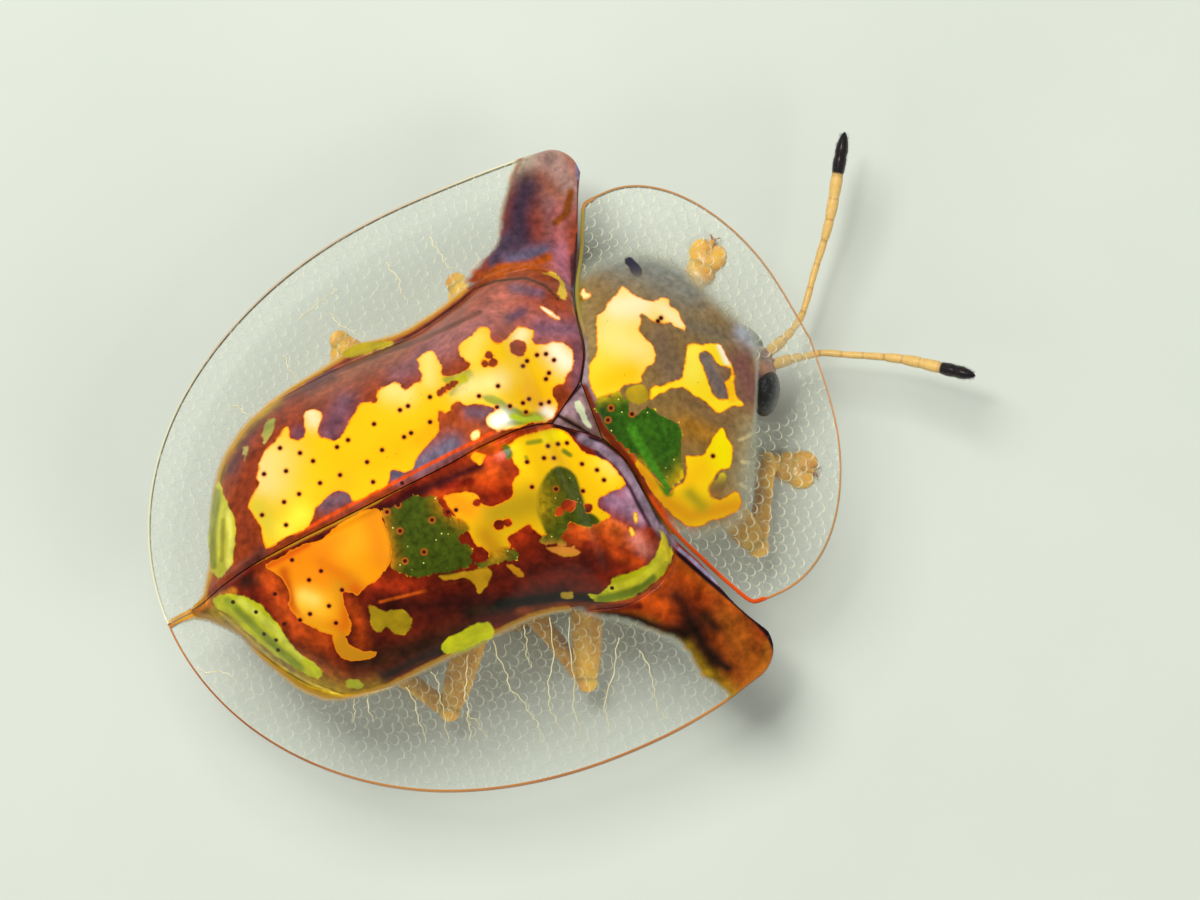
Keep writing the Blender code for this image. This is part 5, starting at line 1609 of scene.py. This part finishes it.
# %% Compound eyes
EYE_S, EYE_OUT, EYE_Z = 11.85, 0.56, 1.4
EYE_RADII = (0.27, 0.38, 0.42)
EYE_RINGS, EYE_AROUND = 125, 250
EYE_SLANT = 0.4  # how far its inner end stands ahead of its outer one
FACET_MM = 0.045
FACET_RISE = 0.007
EYE_DARK, EYE_GLINT = "#0C0B0E", "#363C44"


def from_lattice(x, y, pitch):
    """Distance to the nearest point of a triangular grid: two oblong grids, one set between the other."""
    high = pitch * math.sqrt(3)
    straight = np.hypot(x - pitch * np.round(x / pitch), y - high * np.round(y / high))
    x, y = x - pitch / 2, y - high / 2
    between = np.hypot(x - pitch * np.round(x / pitch), y - high * np.round(y / high))
    return np.minimum(straight, between)


def compound_eye(word, side):
    """Ellipsoid with its pole pointing out; facet = rise * (1 - (distance / half a pitch)^2)."""
    angle, turn = round_grid(EYE_RINGS, EYE_AROUND)
    mapped = 2 * np.sin(angle / 2) * np.mean(EYE_RADII)
    gone = from_lattice(mapped * np.cos(turn), mapped * np.sin(turn), FACET_MM)
    facet = FACET_RISE * (1 - (gone / (FACET_MM / 2)) ** 2)
    swell = 1 + facet * ramp(math.pi - angle, 0.6, 0.9) / EYE_RADII[1]
    radius_s, radius_t, radius_z = EYE_RADII
    out = radius_t * np.cos(angle) * swell
    s = EYE_S + radius_s * np.sin(angle) * np.cos(turn) * swell - EYE_SLANT * out
    t = HEAD_T + side * (EYE_OUT + out)
    z = EYE_Z + radius_z * np.sin(angle) * np.sin(turn) * side * swell
    faces = [quads(EYE_RINGS + 1, EYE_AROUND, wrap=True)]
    return piece(f"compound_eye_{word}", world(s, t, z), faces, eye_lens, "eye", [f"eye_{word}"])


def lens_of_facets():
    """Near-black pigment under clear lenses, each with a slightly different blue-grey glint."""
    made, tree, shader, place = start_material(
        "facet_lenses", Coat_Weight=0.5, Coat_Roughness=0.05, Roughness=0.3, IOR=1.4,
    )
    lens = node(tree, "TexVoronoi", {"Vector": place, "Scale": 1 / (FACET_MM * MM)}, "Color")
    one = node(tree, "SeparateColor", (lens,))
    glint = node(tree, "MapRange", (one, 0.72, 1.0))
    wire(tree, shader, Base_Color=node(
        tree, "Mix", {0: glint, 6: rgba(EYE_DARK), 7: rgba(EYE_GLINT)}, 2, data_type="RGBA",
    ))
    return made


eye_lens = lens_of_facets()
compound_eye("left", 1)
compound_eye("right", -1)

# %% [markdown]
# ## Limbs in joints
# Feelers and mouth feelers are strings of joints, each narrow at its root and widest near its end. One
# function carries a ring along a smooth path and lets its radius follow the joints' own lengths and
# thicknesses. Another sets short bristles on it: a bristle is a needle with three sides and a base, so
# hundreds of them stay light.

# %% Joints and bristles
FINE_STEPS = 400
SWELL_LATE = 1.5  # a power above 1 moves a joint's widest place toward its end
BRISTLES_END = 0.97  # the share of a limb past which no bristle grows
ROOT_DEPTH, LEAN = 0.9, 0.7


def evenly(places, count):
    """count points at equal steps along the smooth curve through a few places."""
    fine = smooth_path(places, FINE_STEPS)
    gone = np.concatenate([[0.0], np.cumsum(np.linalg.norm(np.diff(fine, axis=0), axis=1))])
    even = np.linspace(0, gone[-1], count)
    return np.stack([np.interp(even, gone, column) for column in fine.T], axis=1)


def jointed(places, joints, steps=12, around=14, waist=0.84):
    """Radius = joint's radius * (waist + the rest * a swelling toward its end), rounded off at the tip."""
    lengths, radii = np.array(joints).T
    ends = np.concatenate([[0.0], np.cumsum(lengths)]) / lengths.sum()
    path = evenly(places, steps * len(joints) + 1)
    u = np.linspace(0, 1, len(path))
    which = np.clip(np.searchsorted(ends, u, side="right") - 1, 0, len(joints) - 1)
    within = (u - ends[which]) / (ends[which + 1] - ends[which])
    swell = waist + (1 - waist) * np.sqrt(np.clip(np.sin(math.pi * within**SWELL_LATE), 0, 1))
    tip = np.sqrt(np.clip((1 - u) * len(joints) * 1.2, 0.0, 1.0))
    radius = radii[which] * swell * np.maximum(tip, 0.04)
    points, faces = sweep(path, radius, radius, around)
    return points, faces, path, radius, np.repeat(u, around), np.repeat(within, around)


def bristles(path, radius, count, length, thick, start=0.0, seed=1):
    """Needles at random places round a limb: three corners at the skin and a tip leaning forward."""
    draw = np.random.default_rng(seed)
    at = start + (1 - start) * draw.random(count) * BRISTLES_END
    steps = at * (len(path) - 1)
    low = steps.astype(int)
    share = (steps - low)[:, None]
    middle = path[low] * (1 - share) + path[low + 1] * share
    tangent = path[low + 1] - path[low]
    tangent /= np.linalg.norm(tangent, axis=1, keepdims=True)
    random = draw.normal(size=(count, 3))
    out = random - (random * tangent).sum(axis=1, keepdims=True) * tangent
    out /= np.linalg.norm(out, axis=1, keepdims=True)
    side = np.cross(tangent, out)
    root = middle + out * (radius[low][:, None] * ROOT_DEPTH)
    turn = np.linspace(0, 2 * math.pi, 3, endpoint=False)[:, None, None]
    ring = root + thick * (np.cos(turn) * side + np.sin(turn) * tangent)
    tip = root + length * (0.8 + 0.4 * draw.random((count, 1))) * LEAN * (out + tangent)
    points = np.concatenate([ring, tip[None]]).transpose(1, 0, 2).reshape(-1, 3)
    corners = np.array([(0, 1, 3), (1, 2, 3), (2, 0, 3), (2, 1, 0)])
    faces = (4 * np.arange(count)[:, None, None] + corners).reshape(-1, 3)
    return points, [faces]


# %% [markdown]
# ## The feelers
# Each feeler has eleven joints, straw-coloured and as thin as a hair near the head, slowly wider outward,
# with the last two black and clothed in fine down. The colour follows the place along the feeler, so each
# point stores how far along it lies, and the material turns that number into straw, joint rings and
# black.

# %% Feelers
FEELER_JOINTS = [  # (length, radius)
    (0.5, 0.11), (0.24, 0.085), (0.42, 0.068), (0.42, 0.066), (0.42, 0.068), (0.4, 0.072), (0.36, 0.09),
    (0.36, 0.108), (0.38, 0.116), (0.3, 0.124), (0.42, 0.13),
]
FEELER_BLACK_FROM, BLACK_EDGE = 0.832, 0.006
SPECKLE_MM = 0.06
STRAW, DARK_STRAW, JOINT_RING, CLUB_BLACK = "#E0BE78", "#C49A4C", "#8A5A24", "#1B1618"
FEELERS = {
    "left": [
        (12.12, 0.2, 1.44), (12.5, 0.36, 1.16), (13.0, 0.67, 0.92), (13.62, 1.39, 0.95), (14.22, 2.08, 1.1),
        (14.77, 2.88, 1.25), (15.17, 3.46, 1.4),
    ],
    "right": [
        (12.12, -0.04, 1.44), (12.5, -0.02, 1.16), (12.98, -0.07, 0.92), (13.56, -0.36, 0.95),
        (14.37, -0.85, 1.1), (15.05, -1.4, 1.25), (15.5, -1.79, 1.4),
    ],
}


def feeler_cuticle():
    """Straw to black where the stored distance along the feeler passes the club's start."""
    made, tree, shader, place = start_material(
        "straw_cuticle_of_feelers", Coat_Weight=0.4, Coat_Roughness=0.15, Roughness=0.45,
        Subsurface_Weight=0.2, Subsurface_Scale=0.08 * MM, Subsurface_Radius=(1.0, 0.6, 0.25),
    )
    along = node(tree, "Attribute", output="Fac", attribute_name="along")
    within = node(tree, "Attribute", output="Fac", attribute_name="within")
    speckle = node(tree, "TexNoise", {"Vector": place, "Scale": 1 / (SPECKLE_MM * MM), "Detail": 3.0})
    ring = node(tree, "MapRange", (within, 0.82, 1.0, 0.0, 0.55))
    club = node(tree, "MapRange", (along, FEELER_BLACK_FROM - BLACK_EDGE, FEELER_BLACK_FROM + BLACK_EDGE))
    colour = rgba(STRAW)
    for share, code in ((speckle, DARK_STRAW), (ring, JOINT_RING), (club, CLUB_BLACK)):
        colour = node(tree, "Mix", {0: share, 6: colour, 7: rgba(code)}, 2, data_type="RGBA")
    relief = node(tree, "Bump", {"Height": speckle, "Distance": 0.008 * MM, "Strength": 0.5})
    wire(tree, shader, Base_Color=colour, Normal=relief)
    return made


def feeler(side):
    points, faces, path, radius, along, within = jointed(FEELERS[side], FEELER_JOINTS)
    down, down_faces = bristles(path, radius, 420, 0.055, 0.004, start=FEELER_BLACK_FROM, seed=3)
    sparse, sparse_faces = bristles(path, radius, 120, 0.045, 0.0035, seed=4)
    points, faces = gathered([(points, faces), (down, down_faces), (sparse, sparse_faces)])
    marks = {
        "along": np.concatenate([along, np.ones(len(down)), np.full(len(sparse), 0.5)]),
        "within": np.concatenate([within, np.zeros(len(down) + len(sparse))]),
    }
    points = onto_world(points)
    return piece(f"feeler_{side}", points, faces, straw_cuticle, "limb", [f"antenna_{side}"], marks)


straw_cuticle = feeler_cuticle()
for side in FEELERS:
    feeler(side)

# %% [markdown]
# ## Mouthparts
# Under the face sit an upper lip, a pair of toothed jaws and two pairs of short jointed mouth feelers,
# the palps. They are small but they are what a visitor looks for from the side, so each is its own form:
# the lip is a squashed ellipsoid, the jaws are tapered rings bent over a curve, and the palps are short
# jointed limbs.

# %% Lip, jaws and palps
LIP_PLACE, LIP_RADII = (12.06, HEAD_T, 0.98), (0.1, 0.2, 0.1)
JAW = [(11.95, 0.2, 0.95), (12.06, 0.17, 0.86), (12.1, 0.06, 0.78)]
JAW_POINTS, JAW_TAPER = 16, ([0, 0.3, 1], [0.06, 0.08, 0.012])
PALPS = [(11.86, 12.12, 0.27), (11.74, 11.94, 0.14)]  # start, end, and how far out
PALP_JOINTS = [(0.12, 0.05), (0.14, 0.055), (0.14, 0.058), (0.16, 0.045)]


def blob(centre, radii, squash=1.0, rows=24, around=32):
    """An ellipsoid; squash below 1 makes it boxier by taking that power of the sines."""
    angle, turn = round_grid(rows, around)
    ring = np.sin(angle) ** squash
    parts = [np.cos(angle) + 0 * turn, ring * np.cos(turn), ring * np.sin(turn)]
    points = np.stack([c + r * part for c, r, part in zip(centre, radii, parts)], axis=-1)
    return points.reshape(-1, 3), [quads(rows + 1, around, wrap=True)[:, ::-1]]


def beside_head(line, side):
    """A line given for one side of the head, on that side of the turned head."""
    return [(s, HEAD_T + side * t, z) for s, t, z in line]


def mouthparts():
    parts = [blob(LIP_PLACE, LIP_RADII, squash=0.7)]
    taper = np.interp(np.linspace(0, 1, JAW_POINTS), *JAW_TAPER)
    for side in (-1, 1):
        parts.append(sweep(smooth_path(beside_head(JAW, side), JAW_POINTS), taper, 0.7 * taper, around=12))
        for root, end, out in PALPS:
            line = [(root, 0.7 * out, 0.86), (end - 0.1, out, 0.68), (end, 1.1 * out, 0.52)]
            parts.append(jointed(beside_head(line, side), PALP_JOINTS, steps=8, around=12)[:2])
    points, faces = gathered(parts)
    return piece("mouthparts", onto_world(points), faces, amber_cuticle, "belly")


amber_cuticle = glossy_cuticle(
    "amber_cuticle_of_limbs", "#F4BC34", "#C98A1A", 0.4,
    roughness=0.36, coat=0.35, subsurface=0.35, prick=0.2,
)
mouthparts()

# %% [markdown]
# ## The six legs
# Each leg has a ball-shaped hip, a swollen thigh, a slim shin that widens to its end, and a foot of
# three cushioned lobes and a claw joint. Thigh and shin are rings carried along a path. A foot lobe is an
# ellipsoid whose outline has a notch in front and whose sole is flat on the floor, fringed with the
# short bristles that let the beetle walk on glossy leaves.

# %% Places of the legs
LEGS = {  # hip, knee, ankle, and where the foot ends on the floor
    "front_left": [(10.0, 0.5, 0.9), (10.5, 2.75, 0.8), (11.32, 2.15, 0.42), (12.05, 2.82)],
    "front_right": [(10.0, -0.5, 0.9), (10.6, -2.95, 0.8), (11.38, -1.4, 0.42), (12.0, -1.86)],
    "mid_left": [(8.1, 0.7, 0.9), (7.4, 4.0, 0.74), (6.75, 2.35, 0.4), (6.05, 1.9)],
    "mid_right": [(8.1, -0.7, 0.9), (6.65, -3.95, 0.74), (6.25, -2.3, 0.4), (5.55, -1.9)],
    "hind_left": [(6.4, 0.7, 0.9), (5.0, 3.9, 0.74), (4.2, 2.35, 0.4), (3.45, 1.9)],
    "hind_right": [(6.4, -0.7, 0.9), (4.1, -3.4, 0.74), (3.4, -2.15, 0.4), (2.65, -1.8)],
}
THIGH_RINGS, SHIN_RINGS = 40, 36
THIGH_RAISED, SHIN_BOWED = (0, 0, 0.08), (0, 0, 0.05)
THIGH_WIDE = [(0, 0.12), (0.15, 0.22), (0.5, 0.31), (0.85, 0.27), (1, 0.18)]  # (share of length, radius)
THIGH_HIGH = [(0, 0.1), (0.15, 0.18), (0.5, 0.22), (0.85, 0.18), (1, 0.12)]
SHIN_WIDE = [(0, 0.15), (0.12, 0.17), (0.6, 0.17), (0.92, 0.2), (1, 0.14)]
SHIN_HIGH = [(0, 0.1), (0.12, 0.11), (0.6, 0.11), (0.92, 0.15), (1, 0.1)]
SHIN_START = 0.06  # the share of its length by which the shin starts past the knee
HIP_BALL, HIP_RING = (0.3, 0.34, 0.24), (0.17, 0.17, 0.15)
KNEE_BALL, ANKLE_BALL = (0.2, 0.2, 0.13), (0.15, 0.15, 0.13)
print(len(LEGS), "legs")

# %% [markdown]
# ## Feet and claws
# The lobes lie one behind another under the foot, the last and widest split in front by a notch. Out of
# the notch comes the claw joint, a thin stalk that thickens toward its end and carries two hooked claws.

# %% Lobes, fringe and claws
LOBES = [(0.16, 0.21, 0.16), (0.44, 0.3, 0.14), (0.78, 0.38, 0.13)]  # place along, half width, height
NOTCHES = (0.16, 0.16, 0.34)
LOBE_RINGS, LOBE_AROUND = 20, 36
LOBE_NARROWING, LOBE_FULLNESS = 0.22, 0.6
SOLE_SAG, SOLE_CLEARANCE = 0.012, 0.014
FRINGE_AT, FRINGE_HEIGHT, FRINGE_STEPS, LOWEST = 0.86, 0.055, 24, 0.002
CLAW_POINTS = 12


def lobe(centre, heading, half_width, height, notch):
    """Outline radius = half width * (1 - notch in front - narrowing behind); dome above, flat below."""
    angle = np.linspace(0, math.pi, LOBE_RINGS + 1)[:, None]
    turn = np.linspace(-math.pi, math.pi, LOBE_AROUND, endpoint=False)[None, :]
    behind = (0.5 - 0.5 * np.cos(turn)) ** 2
    outline = half_width * (1 - notch * bump(turn, 0, 0.42) - LOBE_NARROWING * behind)
    ring = np.sin(angle) ** LOBE_FULLNESS
    ahead, aside = outline * ring * np.cos(turn), outline * ring * np.sin(turn)
    dome = np.where(angle < math.pi / 2, height * np.cos(angle), -SOLE_SAG * ring)
    up = dome + SOLE_CLEARANCE + 0 * turn
    s = centre[0] + heading[0] * ahead - heading[1] * aside
    t = centre[1] + heading[1] * ahead + heading[0] * aside
    return np.stack([s, t, up], axis=-1).reshape(-1, 3), [quads(LOBE_RINGS + 1, LOBE_AROUND, wrap=True)]


def sole_fringe(centre, half_width, seed):
    """Short bristles that stand out round a lobe's edge, just above the floor."""
    turn = np.linspace(0, 2 * math.pi, FRINGE_STEPS)
    reach = FRINGE_AT * half_width
    level = np.full(FRINGE_STEPS, FRINGE_HEIGHT)
    path = np.stack([centre[0] + reach * np.cos(turn), centre[1] + reach * np.sin(turn), level], axis=1)
    points, faces = bristles(path, np.full(FRINGE_STEPS, 0.02), 90, 0.07, 0.005, seed=seed)
    points[:, 2] = np.maximum(points[:, 2], LOWEST)
    return points, faces


def foot(start, end, heading, ankle_z):
    """Three lobes with their fringes, the ankle, and the claw joint's neck and stalk."""
    parts = []
    for number, (share, half_width, height) in enumerate(LOBES):
        middle = start + (end - start) * share
        parts.append(lobe(middle, heading, half_width, height, NOTCHES[number]))
        parts.append(sole_fringe(middle, half_width, seed=number))
    root = np.array([*start, ankle_z - 0.03])
    neck = [root, (*(start + 0.12 * (end - start)), 0.16)]
    claw_root = start + (end - start) * 0.82
    stalk = [(*claw_root, 0.1), (*(end - 0.02 * heading), 0.15), (*(end + 0.1 * heading), 0.11)]
    parts.append(blob(root, ANKLE_BALL))
    parts.append(sweep(smooth_path(neck, 8), 0.1, 0.09, around=12))
    parts.append(sweep(smooth_path(stalk, 12), [0.045] * 10 + [0.06, 0.03], 0.045, around=10))
    return parts


def claws(end, heading):
    """Two tapered hooks, one on each side of the claw joint's end."""
    aside = np.array([-heading[1], heading[0]])
    from_joint = end + 0.08 * heading
    taper = np.linspace(0.028, 0.004, CLAW_POINTS)
    hooks = []
    for side in (-1, 1):
        bend = from_joint + 0.09 * heading + side * 0.06 * aside
        point = from_joint + 0.13 * heading + side * 0.13 * aside
        line = [(*from_joint, 0.11), (*bend, 0.13), (*point, 0.03)]
        hooks.append(sweep(smooth_path(line, CLAW_POINTS), taper, taper, around=8))
    return hooks


# %% [markdown]
# ## Six legs from one function
# All six legs are the same form between other places, so one function builds a leg from its hip, knee,
# ankle and toe. Short stiff hairs stand on the thigh and on the lower part of the shin. The claws are a
# piece of their own, because horn is darker than the amber skin of the limbs.

# %% Legs
def limb(places, count, wide, high):
    """Rings along a smooth path, their width and height read from a few (share, size) pairs."""
    path = evenly(places, count)
    u = np.linspace(0, 1, count)
    return path, *sweep(path, through(wide, u), through(high, u), around=20)


def leg(name, hip, knee, ankle, toe):
    """Balls at the joints, swept thigh and shin, a foot on the floor, hairs, and a pair of claws."""
    hip, knee, ankle = (np.array(place, float) for place in (hip, knee, ankle))
    raised = (hip + knee) / 2 + THIGH_RAISED
    bowed = (knee + ankle) / 2 + SHIN_BOWED
    thigh_path, *thigh = limb([hip, raised, knee], THIGH_RINGS, THIGH_WIDE, THIGH_HIGH)
    past_knee = knee - SHIN_START * (knee - ankle)
    shin_path, *shin = limb([past_knee, bowed, ankle], SHIN_RINGS, SHIN_WIDE, SHIN_HIGH)
    start, end = ankle[:2], np.array(toe)
    heading = (end - start) / np.linalg.norm(end - start)
    shin_hairs = bristles(shin_path, np.full(SHIN_RINGS, 0.11), 90, 0.1, 0.005, start=0.35, seed=11)
    thigh_hairs = bristles(thigh_path, np.full(THIGH_RINGS, 0.2), 40, 0.08, 0.005, start=0.2, seed=12)
    points, faces = gathered([
        blob(hip + (0, 0, 0.1), HIP_BALL), blob(hip * 0.93 + knee * 0.07, HIP_RING), thigh,
        blob(knee, KNEE_BALL), shin, *foot(start, end, heading, ankle[2]), shin_hairs, thigh_hairs,
    ])
    piece(f"leg_of_{name}", onto_world(points), faces, amber_cuticle, "limb", [f"leg_{name}"])
    points, faces = gathered(claws(end, heading))
    piece(f"claws_of_{name}", onto_world(points), faces, claw_horn, "limb")


claw_horn = glossy_cuticle("brown_horn_of_claws", "#A85A24", "#6A3414", 0.1, roughness=0.25)
for name, places in LEGS.items():
    leg(name, *places)

# %% [markdown]
# ## Floor and light
# A pale matt floor and three large soft boxes, as for a small museum piece. They light the beetle without
# showing in its gloss; one smaller lamp does show, and gives a few soft highlights. The shells' other
# highlights and reflections are painted into their colours.

# %% Floor, soft boxes and world
FLOOR_HALF = 600.0
FIBRE_MM = 6.0
CARD, CARD_FIBRE = "#B9BFB2", "#C1C6BA"
SKY, SKY_STRENGTH = "#E4EAEE", 0.14
LIGHTS = [  # name, way in the picture (across, up, toward the camera), distance, size, watts, seen in gloss
    ("soft_box_above", (-0.45, 0.8, 1.0), 130, 90, 0.2, False),
    ("soft_box_beside", (0.9, -0.5, 0.9), 140, 80, 0.09, False),
    ("soft_box_behind", (-0.9, -0.6, 0.7), 150, 90, 0.06, False),
    ("window_lamp", (-0.3, 0.35, 1.0), 180, 36, 0.05, True),
]


def floor():
    corner = FLOOR_HALF * MM
    corners = [(-corner, -corner, 0), (corner, -corner, 0), (corner, corner, 0), (-corner, corner, 0)]
    mesh = bpy.data.meshes.new("floor")
    mesh.from_pydata(corners, [], [(0, 1, 2, 3)])
    made, tree, shader, place = start_material("matt_pale_card", Roughness=0.9)
    fibre = node(tree, "TexNoise", {"Vector": place, "Scale": 1 / (FIBRE_MM * MM), "Detail": 5.0})
    card = node(tree, "Mix", {0: fibre, 6: rgba(CARD), 7: rgba(CARD_FIBRE)}, 2, data_type="RGBA")
    wire(tree, shader, Base_Color=card)
    mesh.materials.append(made)
    into_scene("floor", mesh)


def soft_box(name, way, distance, size, power, mirrored):
    """A round light facing the beetle, placed by directions in the picture; mirrored shows it in gloss."""
    across, up, toward = way
    way = across * picture_right + up * picture_up + toward * toward_camera
    way = way / np.linalg.norm(way)
    light = bpy.data.lights.new(name, "AREA")
    light.shape = "DISK"
    light.size = size * MM
    light.energy = power
    thing = into_scene(name, light)
    thing.visible_glossy = mirrored
    facing = Vector(way).to_track_quat("Z", "Y").to_matrix().to_4x4()
    thing.matrix_world = Matrix.Translation(aim + way * distance * MM) @ facing


floor()
for light in LIGHTS:
    soft_box(*light)
sky = bpy.data.worlds.new("pale_room")
sky.use_nodes = True
sky.node_tree.nodes["Background"].inputs["Color"].default_value = rgba(SKY)
sky.node_tree.nodes["Background"].inputs["Strength"].default_value = SKY_STRENGTH
bpy.context.scene.world = sky
bpy.context.scene.view_settings.view_transform = "Standard"
print(len(LIGHTS), "lights")
